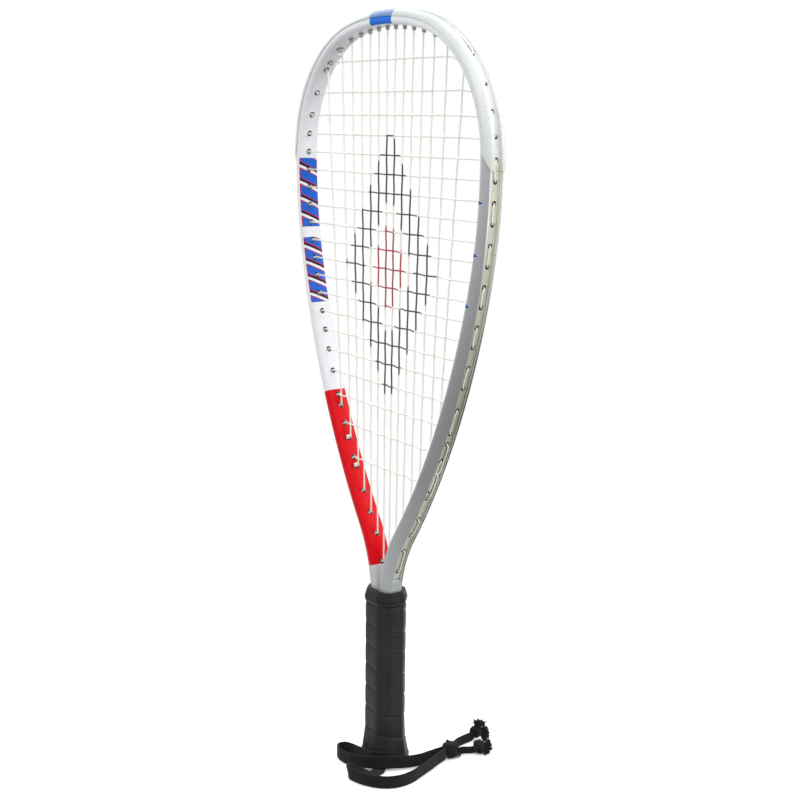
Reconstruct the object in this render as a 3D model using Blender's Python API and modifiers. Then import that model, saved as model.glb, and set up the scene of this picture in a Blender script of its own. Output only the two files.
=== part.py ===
"""Racquetball racket: a strung teardrop frame of aluminium tube with a wrapped grip and a wrist cord.

Units are metres and +Z is up. The racket stands on its butt: the origin is under the middle of the
butt, +Z runs along the racket, X is the width of the head and the strings lie in the plane Y = 0.
"""
import math

import bmesh
import bpy
from mathutils import Matrix, Vector

MM = 0.001

# Overall sizes
LENGTH = 558.8 * MM
RIM_RISE = 1.0 * MM

# Centre line of half the frame, as tangent arcs from the crown down to the handle
CROWN_RADIUS = 202.0 * MM
CROWN_SWEEP = math.radians(13.0)
SHOULDER_RADIUS = 90.4 * MM
SHOULDER_SWEEP = math.radians(76.0)
FLANK_RADIUS = 344.0 * MM
FLANK_SWEEP = math.radians(12.6)
THROAT_RADIUS = 106.0 * MM
THROAT_LEAN = math.radians(33.8)
SHANK_GAP = 0.6 * MM

# Section of the frame tube: in the plane of the strings it is thick, across it is deep
HEAD_THICK = 9.6 * MM
THROAT_THICK = 12.0 * MM
SHANK_THICK = 11.0 * MM
HEAD_DEEP = 17.0 * MM
THROAT_DEEP = 17.4 * MM
SHANK_DEEP = 16.4 * MM
TUBE_WALL = 1.2 * MM
SECTION_SHAPE = ((0.62, 0.75), (0.05, 0.97), (-0.40, 1.0), (-0.82, 0.84), (-1.0, 0.40))
BORE_SHAPE = ((0.0, 1.0), (-1.0, 0.50))
GROOVE_DEEP = 3.0 * MM
GROOVE_WIDE = 8.4 * MM
GROOVE_RUNOUT = 3.0 * MM
GROOVE_OVER_COLLAR = 8.5 * MM
LIP_WIDE = 0.4 * MM
BORE_INSET = 0.7 * MM
HOLE_RIB = 0.6 * MM
HOLE_SLACK = 0.1 * MM
STEP_SAG = 0.32 * MM
STEP_LEAST = 0.4 * MM
CUT_OVER = 1.0 * MM

# Grommet strips and bumper guard
STRIP_BASE = 0.7 * MM
STRIP_WALL = 0.9 * MM
STRIP_TOP_DROP = 0.3 * MM
STRIP_JOINT = 0.3 * MM
BUMPER_WALL = 0.9 * MM
BUMPER_CREST = 0.9 * MM
BUMPER_TIP = 14.0 * MM
TIP_SHARE = 0.35
TIP_LIFT = 0.25 * MM
BARREL_RADIUS = 2.1 * MM
BARREL_SIDES = 5
SEAT_SIDES = 4
BARREL_PROUD = 2.2 * MM
BARREL_SHORT = 0.5 * MM
BORE_RADIUS = 1.35 * MM
TIE_BORE_SPREAD = 0.75 * MM

# Strings
STRING_RADIUS = 0.65 * MM
STRING_GAP = 0.4 * MM
LOOP_SIDE = 1.5 * MM
LOOP_STEP = 10.0 * MM
LOOP_DIP = 1.3 * MM
LOOP_LEAD = 0.9 * MM
LOOP_START = 3.2 * MM
MAINS_PER_SIDE = 7
MAIN_HALF_GAP = 5.1 * MM
MAIN_TOP_PITCH = 10.8 * MM
MAIN_TOP_SPREAD = 15.8 * MM
MAIN_LOW_PITCH = 7.9 * MM
MAIN_LOW_SPREAD = 11.9 * MM
CROSSES = 20
CROSS_TOP_DROP = 33.5 * MM
CROSS_PITCH = 13.45 * MM
CROSS_TOP_SPREAD = 8.5 * MM
CROSS_LOW_SPREAD = 11.3 * MM
BUMPER_CROSSES = 5
KNOT_RADIUS = 1.5 * MM
KNOT_ASIDE = 0.75 * MM
TIE_GAP = 0.6 * MM
TIE_SIDE = STRING_RADIUS + TIE_GAP / 2
STRING_CLEAR = 0.9 * MM
NET_EDGE = 2.0 * MM

# Handle
GRIP_WIDE = 31.0 * MM
GRIP_DEEP = 26.6 * MM
GRIP_CHAMFER = 7.5 * MM
GRIP_BOTTOM = 5.2 * MM
GRIP_OVER_BEND = 1.75 * MM
GRIP_THICK = 1.5 * MM
GRIP_PITCH = 17.0 * MM
GRIP_SEAM = 0.5 * MM
GRIP_SEAM_BEVEL = 0.45 * MM
GRIP_FIRST_TURN = 0.8 * MM
GRIP_LAST_TURN = 0.6 * MM
FLARE_RISE = 4.3 * MM
FLARE_HEIGHT = 30.0 * MM
FLARE_POWER = 1.7
PALLET_BOTTOM = 15.0 * MM
PALLET_SPLIT = 0.3 * MM
PALLET_CHAMFER = 3.0 * MM
SHANK_BOTTOM = 24.0 * MM
COLLAR_TALL = 11.0 * MM
COLLAR_BULGE = 0.6 * MM
COLLAR_TUCK = 0.4 * MM
COLLAR_LEAN = 1.7 * MM
COLLAR_CHAMFER = 3.4 * MM
COLLAR_SLACK = 0.2 * MM
CAP_TOP = 18.0 * MM
CAP_BASE_TOP = 6.8 * MM
CAP_RECESS = 4.1 * MM
CAP_RIM_PROUD = 0.2 * MM
CAP_RIM_WALL = 4.0 * MM
CAP_RIM_EDGE = 1.0 * MM
CAP_LEDGE = 1.6 * MM
CAP_HOLE_RADIUS = 4.3 * MM
CAP_NOTCH_WIDE = 11.0 * MM
EASE = 0.3 * MM

# Wrist cord: flat webbing, standing on its edge where its tilt is 0
WEB_WIDE = 10.0 * MM
WEB_THICK = 1.6 * MM
ANCHOR_RADIUS = 6.0 * MM
ANCHOR_TOP = 13.8 * MM
CORD_TURN = math.radians(54.9)
CORD_STEP = 4.6 * MM
CORD_KNOT_SIZE = (12.0 * MM, 13.0 * MM, 12.0 * MM)
END_A_SIZE = (9.6 * MM, 9.6 * MM, 14.0 * MM)
END_B_SIZE = (12.0 * MM, 9.6 * MM, 9.6 * MM)
LUMP_CAGE = 1.19
TAIL_A_SHARE = 0.8
TAIL_B_SHARE = 0.6
ANCHOR_SLACK = 0.4 * MM
ANCHOR_SHOULDER = 3.4 * MM
ANCHOR_CROWN = 0.8 * MM
ANCHOR_SEAT = 0.45 * MM
ANCHOR_FOOT = 0.5 * MM


def clear_scene():
    for item in list(bpy.data.objects):
        bpy.data.objects.remove(item, do_unlink=True)


def new_collection(name):
    group = bpy.data.collections.new(name)
    bpy.context.scene.collection.children.link(group)
    return group


def material(name, color, roughness, metallic=0.0, alpha=1.0):
    made = bpy.data.materials.new(name)
    made.use_nodes = True
    shader = made.node_tree.nodes["Principled BSDF"]
    shader.inputs["Base Color"].default_value = (*color, 1.0)
    shader.inputs["Roughness"].default_value = roughness
    shader.inputs["Metallic"].default_value = metallic
    shader.inputs["Alpha"].default_value = alpha
    made.diffuse_color = (*color, alpha)
    return made


def white_enamel():
    return material("white_enamel", (0.86, 0.87, 0.89), 0.22)


def clear_nylon():
    return material("clear_nylon", (0.80, 0.80, 0.70), 0.35)


def cream_gut():
    return material("cream_gut", (0.88, 0.86, 0.76), 0.40)


def black_rubber():
    return material("black_rubber", (0.03, 0.03, 0.03), 0.60)


def grip_leatherette():
    return material("grip_leatherette", (0.035, 0.035, 0.037), 0.55)


def handle_foam():
    return material("handle_foam", (0.25, 0.24, 0.22), 0.80)


def cap_plastic():
    return material("cap_plastic", (0.03, 0.03, 0.03), 0.45)


def black_webbing():
    return material("black_webbing", (0.02, 0.02, 0.02), 0.85)


def add(mesh, name, surface, place, smooth=30.0):
    """Puts a finished mesh in the scene under its node's name."""
    item = bpy.data.objects.new(name, mesh)
    place.objects.link(item)
    if surface is not None:
        mesh.materials.append(surface)
    if smooth:
        mesh.shade_smooth()
        mesh.set_sharp_from_angle(angle=math.radians(smooth))
    return item


def add_cutter(mesh, name):
    item = add(mesh, name, None, cutters, smooth=0)
    item.hide_render = True
    item.display_type = "WIRE"
    return item


def boolean(item, tool, operation):
    step = item.modifiers.new(operation.lower() + "_" + tool.name, "BOOLEAN")
    step.operation = operation
    step.object = tool
    step.solver = "EXACT"
    return step


def loft(name, rings):
    """A solid through rings of points: one after the other, each in the same order."""
    work = bmesh.new()
    made = [[work.verts.new(point) for point in ring] for ring in rings]
    count = len(rings[0])
    for low, high in zip(made, made[1:]):
        for i in range(count):
            j = (i + 1) % count
            work.faces.new((low[i], low[j], high[j], high[i]))
    work.faces.new(list(reversed(made[0])))
    work.faces.new(made[-1])
    return close_mesh(work, name)


def shell_loft(name, outer, inner):
    """A tube with walls: rings outside, rings inside, joined by a flat rim at each open end."""
    work = bmesh.new()
    out_rings = [[work.verts.new(point) for point in ring] for ring in outer]
    in_rings = [[work.verts.new(point) for point in ring] for ring in inner]
    for rings in (out_rings, in_rings):
        count = len(rings[0])
        for low, high in zip(rings, rings[1:]):
            for i in range(count):
                j = (i + 1) % count
                work.faces.new((low[i], low[j], high[j], high[i]))
    for index in (0, -1):
        edges = []
        for ring in (out_rings[index], in_rings[index]):
            for i, corner in enumerate(ring):
                edges.append(work.edges.get((corner, ring[(i + 1) % len(ring)])))
        bmesh.ops.triangle_fill(work, edges=edges, use_beauty=True)
    return close_mesh(work, name)


def close_mesh(work, name):
    bmesh.ops.recalc_face_normals(work, faces=work.faces)
    if work.calc_volume(signed=True) < 0:
        bmesh.ops.reverse_faces(work, faces=work.faces)
    mesh = bpy.data.meshes.new(name)
    work.to_mesh(mesh)
    work.free()
    return mesh


def octagon(half_x, half_y, chamfer, z):
    """Eight corners, anticlockwise from the +X side."""
    x, y, c = half_x, half_y, chamfer
    right = [(x, -y + c), (x, y - c), (x - c, y), (-x + c, y)]
    left = [(-x, y - c), (-x, -y + c), (-x + c, -y), (x - c, -y)]
    return [Vector((px, py, z)) for px, py in right + left]


def grip_octagon(offset, z):
    """The grip's octagon with every side moved out by offset."""
    reach = GRIP_CHAMFER + offset * (2.0 - math.sqrt(2.0))
    return octagon(GRIP_WIDE / 2 + offset, GRIP_DEEP / 2 + offset, reach, z)


def flare(z):
    """How far the butt end stands out from the grip's straight part at height z."""
    left = max(0.0, 1.0 - z / FLARE_HEIGHT)
    return FLARE_RISE * left ** FLARE_POWER


class Outline:
    """Centre line of one limb: distance along it from the crown gives place and direction."""

    def __init__(self):
        shank_x = (SHANK_GAP + THROAT_THICK) / 2
        top = LENGTH - RIM_RISE - HEAD_THICK / 2
        arcs = [(CROWN_RADIUS, CROWN_SWEEP), (SHOULDER_RADIUS, SHOULDER_SWEEP), (FLANK_RADIUS, FLANK_SWEEP)]
        turned = CROWN_SWEEP + SHOULDER_SWEEP + FLANK_SWEEP
        lowest = math.pi / 2 + THROAT_LEAN
        x = 0.0
        heading = 0.0
        for radius, sweep in arcs:
            x += radius * (math.sin(heading + sweep) - math.sin(heading))
            heading += sweep
        drop = THROAT_RADIUS * (1.0 - math.cos(THROAT_LEAN))
        taper = (x - shank_x - drop) / (math.sin(turned) - math.sin(lowest))
        arcs.append((taper, lowest - turned))
        arcs.append((-THROAT_RADIUS, -THROAT_LEAN))
        self.pieces = []
        x, z, heading, start = 0.0, top, 0.0, 0.0
        for radius, sweep in arcs:
            self.pieces.append((start, x, z, heading, radius))
            x += radius * (math.sin(heading + sweep) - math.sin(heading))
            z += radius * (math.cos(heading + sweep) - math.cos(heading))
            heading += sweep
            start += abs(radius * sweep)
        self.pieces.append((start, x, z, heading, None))
        self.arcs = arcs
        self.shank_start = start
        self.shank_top = z
        self.end = start + z - SHANK_BOTTOM

    def at(self, s):
        """Place and heading at distance s; a negative s is on the -X limb."""
        side = -1.0 if s < 0 else 1.0
        distance = abs(s)
        piece = [p for p in self.pieces if p[0] <= distance + 1e-12][-1]
        start, x, z, heading, radius = piece
        if radius is None:
            z -= distance - start
        else:
            turn = heading + (distance - start) / radius
            x += radius * (math.sin(turn) - math.sin(heading))
            z += radius * (math.cos(turn) - math.cos(heading))
            heading = turn
        normal = Vector((side * math.sin(heading), 0.0, math.cos(heading)))
        along = Vector((math.cos(heading), 0.0, -side * math.sin(heading)))
        return Vector((side * x, 0.0, z)), normal, along

    def find(self, low, high, test):
        """Distance at which test turns positive between low and high."""
        for _ in range(60):
            middle = (low + high) / 2
            if test(middle) > 0:
                high = middle
            else:
                low = middle
        return (low + high) / 2

    def stations(self, low, high, extra=()):
        """Distances for a sweep: every arc's joints, and steps whose chords leave it by about STEP_SAG."""
        marks = {low, high, *extra}
        for (start, _, _, _, radius), (_, sweep) in zip(self.pieces, self.arcs):
            step = 2 * math.acos(1.0 - STEP_SAG / abs(radius))
            count = max(2, math.ceil(abs(sweep) / step - 0.1))
            for i in range(count + 1):
                mark = start + abs(radius * sweep) * i / count
                marks.add(mark)
                marks.add(-mark)
        for mark in (self.groove_end - GROOVE_RUNOUT, self.groove_end, self.swage_low):
            marks.add(mark)
            marks.add(-mark)
        inside = sorted(mark for mark in marks if low <= mark <= high)
        kept = [inside[0]]
        for mark in inside[1:]:
            if mark - kept[-1] > STEP_LEAST:
                kept.append(mark)
        kept[-1] = high
        return kept


def blend(value, low, high):
    return min(1.0, max(0.0, (value - low) / (high - low)))


outline = Outline()
# The head's shape is fixed, and the handle takes the rest of the length.
GRIP_TOP = outline.shank_top + GRIP_OVER_BEND
COLLAR_TOP = GRIP_TOP + COLLAR_TALL
# The tube keeps its head section to the taper, grows to the throat and is swaged down inside the collar.
outline.taper_start = outline.pieces[3][0]
outline.swage_top = outline.shank_start - (COLLAR_TOP - outline.shank_top)
outline.swage_low = outline.shank_start + (outline.shank_top - GRIP_TOP)
groove_foot = COLLAR_TOP + GROOVE_OVER_COLLAR
outline.groove_end = outline.find(0.0, outline.end, lambda s: groove_foot - outline.at(s)[0].z)


def tube_size(s):
    """Half thickness and half depth of the tube at distance s."""
    distance = abs(s)
    grow = blend(distance, outline.taper_start, outline.swage_top)
    shrink = blend(distance, outline.swage_top, outline.swage_low)
    thick = HEAD_THICK + (THROAT_THICK - HEAD_THICK) * grow + (SHANK_THICK - THROAT_THICK) * shrink
    deep = HEAD_DEEP + (THROAT_DEEP - HEAD_DEEP) * grow + (SHANK_DEEP - THROAT_DEEP) * shrink
    return thick / 2, deep / 2


def groove_depth(s):
    return GROOVE_DEEP * (1.0 - blend(abs(s), outline.groove_end - GROOVE_RUNOUT, outline.groove_end))


def ring_at(s, half_section):
    """A whole section in space from its half: (out, across) pairs from the outer side to the inner."""
    centre, normal, _ = outline.at(s)
    ring = [centre + normal * out + Vector((0.0, across, 0.0)) for out, across in half_section]
    ring += [centre + normal * out - Vector((0.0, across, 0.0)) for out, across in reversed(half_section)]
    return ring


def tube_section(s):
    h, d = tube_size(s)
    floor = h - groove_depth(s)
    half = [(floor, GROOVE_WIDE / 2), (h, GROOVE_WIDE / 2 + LIP_WIDE)]
    half += [(h * out, d * across) for out, across in SECTION_SHAPE]
    return half


def bore_section(s):
    h, d = tube_size(s)
    inner_h, inner_d = h - TUBE_WALL, d - TUBE_WALL
    floor = h - GROOVE_DEEP - TUBE_WALL
    shape = [(inner_h * out, inner_d * across) for out, across in BORE_SHAPE]
    return [(floor, GROOVE_WIDE / 2 - BORE_INSET)] + shape


def inner_point(s):
    """Where a hole at distance s comes out on the inner wall."""
    centre, normal, _ = outline.at(s)
    return centre - normal * tube_size(s)[0]


class Hole:
    """A drilled hole through both walls, with the grommet barrel and the string in it."""

    def __init__(self, s):
        self.s = s
        self.tie = False
        self.centre, self.normal, self.along = outline.at(s)
        self.half = tube_size(s)[0]

    def place(self, out, across=0.0, ahead=0.0):
        centre, normal, _ = outline.at(self.s + ahead)
        return centre + normal * out + Vector((0.0, across, 0.0))


def string_level(s):
    """Height of a string's middle over the centre line where it lies in its channel."""
    floor = tube_size(s)[0] - GROOVE_DEEP
    return floor + EASE + STRIP_BASE + STRING_GAP + STRING_RADIUS


def main_x(order, pitch, spread, power):
    return MAIN_HALF_GAP + pitch * order + spread * (order / (MAINS_PER_SIDE - 1)) ** power


def cross_heights():
    gaps = CROSSES - 1
    middle = 0.4 * gaps
    heights = [LENGTH - CROSS_TOP_DROP]
    for i in range(gaps):
        above = max(0.0, 1.0 - i / middle)
        below = max(0.0, (i + 1 - middle) / (gaps - middle))
        step = CROSS_PITCH + CROSS_TOP_SPREAD * above ** 8 + CROSS_LOW_SPREAD * below ** 5
        heights.append(heights[-1] - step)
    return heights


def lay_out_holes():
    """Holes of both limbs: mains are numbered from the middle outward, crosses from the top down."""
    widest = outline.find(0.0, outline.shank_start, lambda s: -outline.at(s)[1].z)
    tops, lows, crosses = {}, {}, {}
    places = []
    for order in range(MAINS_PER_SIDE):
        top_x = main_x(order, MAIN_TOP_PITCH, MAIN_TOP_SPREAD, 4)
        low_x = main_x(order, MAIN_LOW_PITCH, MAIN_LOW_SPREAD, 2)
        top_s = outline.find(0.0, widest, lambda s: inner_point(s).x - top_x)
        low_s = outline.find(widest, outline.shank_start, lambda s: low_x - inner_point(s).x)
        places += [(top_s, tops, order), (low_s, lows, order)]
    for order, height in enumerate(cross_heights()):
        found = outline.find(0.0, outline.shank_start, lambda s: height - inner_point(s).z)
        places.append((found, crosses, order))
    # Two neighbours that would run together are set apart, so that a rib of wall stays between them.
    pitch = 2 * SEAT_RADIUS + HOLE_RIB
    least = 0.0
    for found, group, order in sorted(places, key=lambda place: place[0]):
        found = max(found, least)
        least = found + pitch
        for side in (-1, 1):
            group[side * (order + 1)] = Hole(side * found)
    return tops, lows, crosses


# Half the width of a seat in the groove, corner to corner
SEAT_RADIUS = (BARREL_RADIUS + EASE) / math.cos(math.pi / SEAT_SIDES)
top_holes, low_holes, cross_holes = lay_out_holes()
all_holes = list(top_holes.values()) + list(low_holes.values()) + list(cross_holes.values())
bumper_end = (cross_holes[BUMPER_CROSSES].s + cross_holes[BUMPER_CROSSES + 1].s) / 2
# Four string ends are tied off beside a neighbouring string, through a wider bore.
tie_holes = {
    "main_left": low_holes[-(MAINS_PER_SIDE - 1)],
    "main_right": low_holes[MAINS_PER_SIDE - 1],
    "cross_top": top_holes[-(MAINS_PER_SIDE - 1)],
    "cross_low": low_holes[-(MAINS_PER_SIDE - 2)],
}
for tie_hole in tie_holes.values():
    tie_hole.tie = True


def prism(work, hole, low, high, radius, sides):
    """Adds a rod along the hole from low to high over the centre line."""
    spread = TIE_BORE_SPREAD if hole.tie else 0.0
    middle = hole.centre + hole.normal * (low + high) / 2
    turn = Matrix((hole.along, Vector((0.0, 1.0, 0.0)), hole.normal)).transposed().to_4x4()
    stretch = Matrix.Diagonal((1.0, 1.0 + spread / radius, 1.0, 1.0))
    place = Matrix.Translation(middle) @ turn @ stretch
    bmesh.ops.create_cone(work, cap_ends=True, segments=sides, radius1=radius, radius2=radius,
                          depth=high - low, matrix=place)


def prisms(name, holes, low, high, radius, sides=BARREL_SIDES):
    """One cutter with a rod for every hole; low and high are functions of the hole."""
    work = bmesh.new()
    for hole in holes:
        prism(work, hole, low(hole), high(hole), radius, sides)
    return close_mesh(work, name)


def barrel_end(hole):
    """How far the barrel reaches inward: proud of the wall round the head, short of it on the limbs."""
    if abs(hole.s) < bumper_end:
        return -hole.half - BARREL_PROUD
    return -hole.half + BARREL_SHORT


def build_frame():
    stations = outline.stations(-outline.end, outline.end)
    outer = [ring_at(s, tube_section(s)) for s in stations]
    inner = [ring_at(s, bore_section(s)) for s in stations]
    frame = add(shell_loft("frame_tube", outer, inner), "frame_tube", enamel, parts)
    clear = BARREL_RADIUS + EASE
    inward = lambda hole: -hole.half - CUT_OVER
    outward = lambda hole: hole.half + CUT_OVER
    middle = lambda hole: 0.0
    inner_holes = prisms("inner_holes", all_holes, inward, middle, clear + HOLE_SLACK)
    boolean(frame, add_cutter(inner_holes, "inner_holes"), "DIFFERENCE")
    seats = prisms("groove_holes", all_holes, middle, outward, SEAT_RADIUS, SEAT_SIDES)
    boolean(frame, add_cutter(seats, "groove_holes"), "DIFFERENCE")


def channel_section(s):
    """Half section of a grommet strip: a shallow channel lying in the groove."""
    h = tube_size(s)[0]
    low = h - GROOVE_DEEP + EASE
    half = GROOVE_WIDE / 2 - EASE
    top = h - STRIP_TOP_DROP
    return [(low + STRIP_BASE, half - STRIP_WALL), (top, half - STRIP_WALL), (top, half), (low, half)]


def skirt_path(s):
    """The tube's outside from the groove's lip over its face, where the bumper's skirt lies."""
    h, d = tube_size(s)
    return [(h, GROOVE_WIDE / 2 + LIP_WIDE)] + [(h * out, d * across) for out, across in SECTION_SHAPE[:2]]


def along_path(path, distance, lift):
    """The point at distance along a path of (out, across) points, raised from it by lift."""
    for (a, b), (c, d) in zip(path, path[1:]):
        size = math.hypot(c - a, d - b)
        if distance <= size + 1e-9:
            break
        distance -= size
    t = distance / size
    return a + (c - a) * t + lift * (d - b) / size, b + (d - b) * t - lift * (c - a) / size


def bumper_section(s):
    """Half section of the bumper guard: the channel, with a skirt that wraps over the tube's face."""
    h = tube_size(s)[0]
    low = h - GROOVE_DEEP + EASE
    half = GROOVE_WIDE / 2 - EASE
    crest = h + RIM_RISE
    path = skirt_path(s)
    marks = [0.0]
    for (a, b), (c, d) in zip(path, path[1:]):
        marks.append(marks[-1] + math.hypot(c - a, d - b))
    # The skirt draws back to its tip over the last stretch, where it also stands a little off the tube.
    share = TIP_SHARE + (1.0 - TIP_SHARE) * math.sqrt(blend(bumper_end - abs(s), 0.0, BUMPER_TIP))
    lift = EASE + TIP_LIFT * (1.0 - blend(bumper_end - abs(s), BUMPER_TIP, 2 * BUMPER_TIP))
    under = [along_path(path, mark * share, lift) for mark in marks[1:]]
    outer = [along_path(path, mark * share, lift + BUMPER_WALL) for mark in marks[1:]]
    start = [(low + STRIP_BASE, half - STRIP_WALL), (crest, half - STRIP_WALL), (crest, half + BUMPER_CREST)]
    close = [(h + lift, half + LIP_WIDE + EASE), (h + EASE, half), (low, half)]
    return start + outer + list(reversed(under)) + close


def build_strip(name, low, high, section, holes, extra=()):
    rings = [ring_at(s, section(s)) for s in outline.stations(low, high, extra)]
    strip = add(loft(name, rings), name, nylon, parts)
    floor = lambda h: h.half - GROOVE_DEEP + EASE
    barrels = prisms(name + "_barrels", holes, barrel_end, lambda h: floor(h) + STRIP_BASE / 2, BARREL_RADIUS)
    boolean(strip, add_cutter(barrels, name + "_barrels"), "UNION")
    inward = lambda hole: -hole.half - BARREL_PROUD - CUT_OVER
    outward = lambda hole: hole.half + CUT_OVER
    bores = prisms(name + "_bores", holes, inward, outward, BORE_RADIUS)
    boolean(strip, add_cutter(bores, name + "_bores"), "DIFFERENCE")


def build_strips():
    head = [hole for hole in all_holes if abs(hole.s) < bumper_end]
    tip = [bumper_end - BUMPER_TIP * share for share in (0.2, 1.0)]
    build_strip("bumper_guard", -bumper_end, bumper_end, bumper_section, head, tip + [-mark for mark in tip])
    strip_end = outline.groove_end - GROOVE_RUNOUT - EASE
    left = [hole for hole in all_holes if hole.s < -bumper_end]
    right = [hole for hole in all_holes if hole.s > bumper_end]
    build_strip("grommet_strip_left", -strip_end, -bumper_end - STRIP_JOINT, channel_section, left)
    build_strip("grommet_strip_right", bumper_end + STRIP_JOINT, strip_end, channel_section, right)


def smooth_tube(name, points, radius, surface, place, resolution=1):
    """A tube along chosen points, as a curve with a round bevel and filled caps."""
    curve = bpy.data.curves.new(name, "CURVE")
    curve.dimensions = "3D"
    curve.bevel_depth = radius
    curve.bevel_resolution = resolution
    curve.use_fill_caps = True
    spline = curve.splines.new("POLY")
    spline.points.add(len(points) - 1)
    for target, point in zip(spline.points, points):
        target.co = (*point, 1.0)
    item = bpy.data.objects.new(name, curve)
    curve.materials.append(surface)
    place.objects.link(item)
    return item


def groove_run(first, second, side, first_across=0.0, second_across=0.0):
    """Points of a string from one hole's mouth along the outside of the frame to another's."""
    ahead = 1.0 if second.s > first.s else -1.0

    def mouth(hole, across, way):
        level = string_level(hole.s)
        turned = across if across * side > 0 else (across + side * LOOP_SIDE) / 2
        return [hole.place(level - LOOP_DIP, across), hole.place(level, turned, way * LOOP_LEAD)]

    low, high = first.s + ahead * LOOP_START, second.s - ahead * LOOP_START
    count = round(abs(high - low) / LOOP_STEP)
    middle = []
    for i in range(count + 1):
        s = low + (high - low) * (i / count if count else 0.5)
        centre, normal, _ = outline.at(s)
        middle.append(centre + normal * string_level(s) + Vector((0.0, side * LOOP_SIDE, 0.0)))
    return mouth(first, first_across, ahead) + middle + list(reversed(mouth(second, second_across, -ahead)))


def inside_mouth(hole, across=0.0):
    """The string's last point inside the head before its barrel."""
    return hole.place(min(barrel_end(hole), -hole.half) - STRING_CLEAR, across)


def main_line(order_side):
    """Ends of the straight run of a main inside the head, top then bottom."""
    top, low = top_holes[order_side], low_holes[order_side]
    return inside_mouth(top, tie_across(top, 1)), inside_mouth(low, tie_across(low, 1))


def tie_across(hole, side):
    return side * TIE_SIDE if hole.tie else 0.0


def build_main_string():
    """One string up and down the head, with its loops outside the frame."""
    names = [-(i + 1) for i in reversed(range(MAINS_PER_SIDE))] + [i + 1 for i in range(MAINS_PER_SIDE)]
    start, finish = tie_holes["main_left"], tie_holes["main_right"]
    points = [inside_mouth(start, -TIE_SIDE)]
    points += groove_run(start, low_holes[names[0]], 1, -TIE_SIDE, 0.0)
    for index, name in enumerate(names):
        top_end, low_end = main_line(name)
        upward = index % 2 == 0
        points += [low_end, top_end] if upward else [top_end, low_end]
        if index == len(names) - 1:
            points += groove_run(low_holes[name], finish, 1, 0.0, -TIE_SIDE)
            points.append(inside_mouth(finish, -TIE_SIDE))
            continue
        group = top_holes if upward else low_holes
        first, second = group[name], group[names[index + 1]]
        points += groove_run(first, second, 1, tie_across(first, 1), tie_across(second, 1))
    smooth_tube("main_string", points, STRING_RADIUS, gut, parts)
    return points


def crossings(height):
    """Where the mains pass the height of a cross, from left to right, as (x, main's place in order)."""
    found = []
    names = [-(i + 1) for i in reversed(range(MAINS_PER_SIDE))] + [i + 1 for i in range(MAINS_PER_SIDE)]
    for index, name in enumerate(names):
        top_end, low_end = main_line(name)
        if low_end.z + NET_EDGE < height < top_end.z - NET_EDGE:
            share = (top_end.z - height) / (top_end.z - low_end.z)
            point = top_end.lerp(low_end, share)
            found.append((point.x, point.y, index))
    return found


def build_cross_string():
    """One string woven from side to side over and under the mains."""
    weave = 2 * STRING_RADIUS + STRING_GAP
    top, low = tie_holes["cross_top"], tie_holes["cross_low"]
    first = cross_holes[-1]
    points = [inside_mouth(top, -TIE_SIDE)] + groove_run(top, first, -1, -TIE_SIDE, 0.0)
    for number in range(1, CROSSES + 1):
        left, right = cross_holes[-number], cross_holes[number]
        row = [inside_mouth(left)]
        for x, y, index in crossings(inner_point(left.s).z):
            over = 1.0 if (index + number) % 2 else -1.0
            row.append(Vector((x, y + over * weave, inner_point(left.s).z)))
        row.append(inside_mouth(right))
        rightward = number % 2 == 1
        points += row if rightward else list(reversed(row))
        if number == CROSSES:
            points += groove_run(left, low, -1, 0.0, -TIE_SIDE)
            points.append(inside_mouth(low, -TIE_SIDE))
            continue
        group = 1 if rightward else -1
        points += groove_run(cross_holes[group * number], cross_holes[group * (number + 1)], -1)
    smooth_tube("cross_string", points, STRING_RADIUS, gut, parts)
    return points


def build_knots():
    """A small knot on each string end, tight against its barrel."""
    for name, hole in tie_holes.items():
        mouth = inside_mouth(hole, -TIE_SIDE)
        mesh = bpy.data.meshes.new("string_knot_" + name)
        work = bmesh.new()
        aside = Vector((0.0, KNOT_ASIDE, 0.0))
        place = Matrix.Translation(mouth - hole.normal * (KNOT_RADIUS + EASE) - aside)
        bmesh.ops.create_uvsphere(work, u_segments=6, v_segments=4, radius=KNOT_RADIUS, matrix=place)
        work.to_mesh(mesh)
        work.free()
        add(mesh, "string_knot_" + name, gut, parts, smooth=60.0)


def least_gap(points, reach, radius):
    """Least gap of a tube to itself, between points that lie more than reach apart along it."""
    samples = []
    travelled = 0.0
    for a, b in zip(points, points[1:]):
        length = (b - a).length
        count = max(1, int(length / (3 * radius)))
        for i in range(count):
            samples.append((travelled + length * i / count, a.lerp(b, i / count)))
        travelled += length
    cells = {}
    size = 6 * radius
    for distance, point in samples:
        cells.setdefault(tuple(int(c // size) for c in point), []).append((distance, point))
    least = 1.0
    for (cx, cy, cz), members in cells.items():
        near = []
        for dx in (-1, 0, 1):
            for dy in (-1, 0, 1):
                for dz in (-1, 0, 1):
                    near += cells.get((cx + dx, cy + dy, cz + dz), [])
        for distance, point in members:
            for other, place in near:
                if abs(other - distance) > reach:
                    least = min(least, (place - point).length)
    return least - 2 * radius


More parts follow.
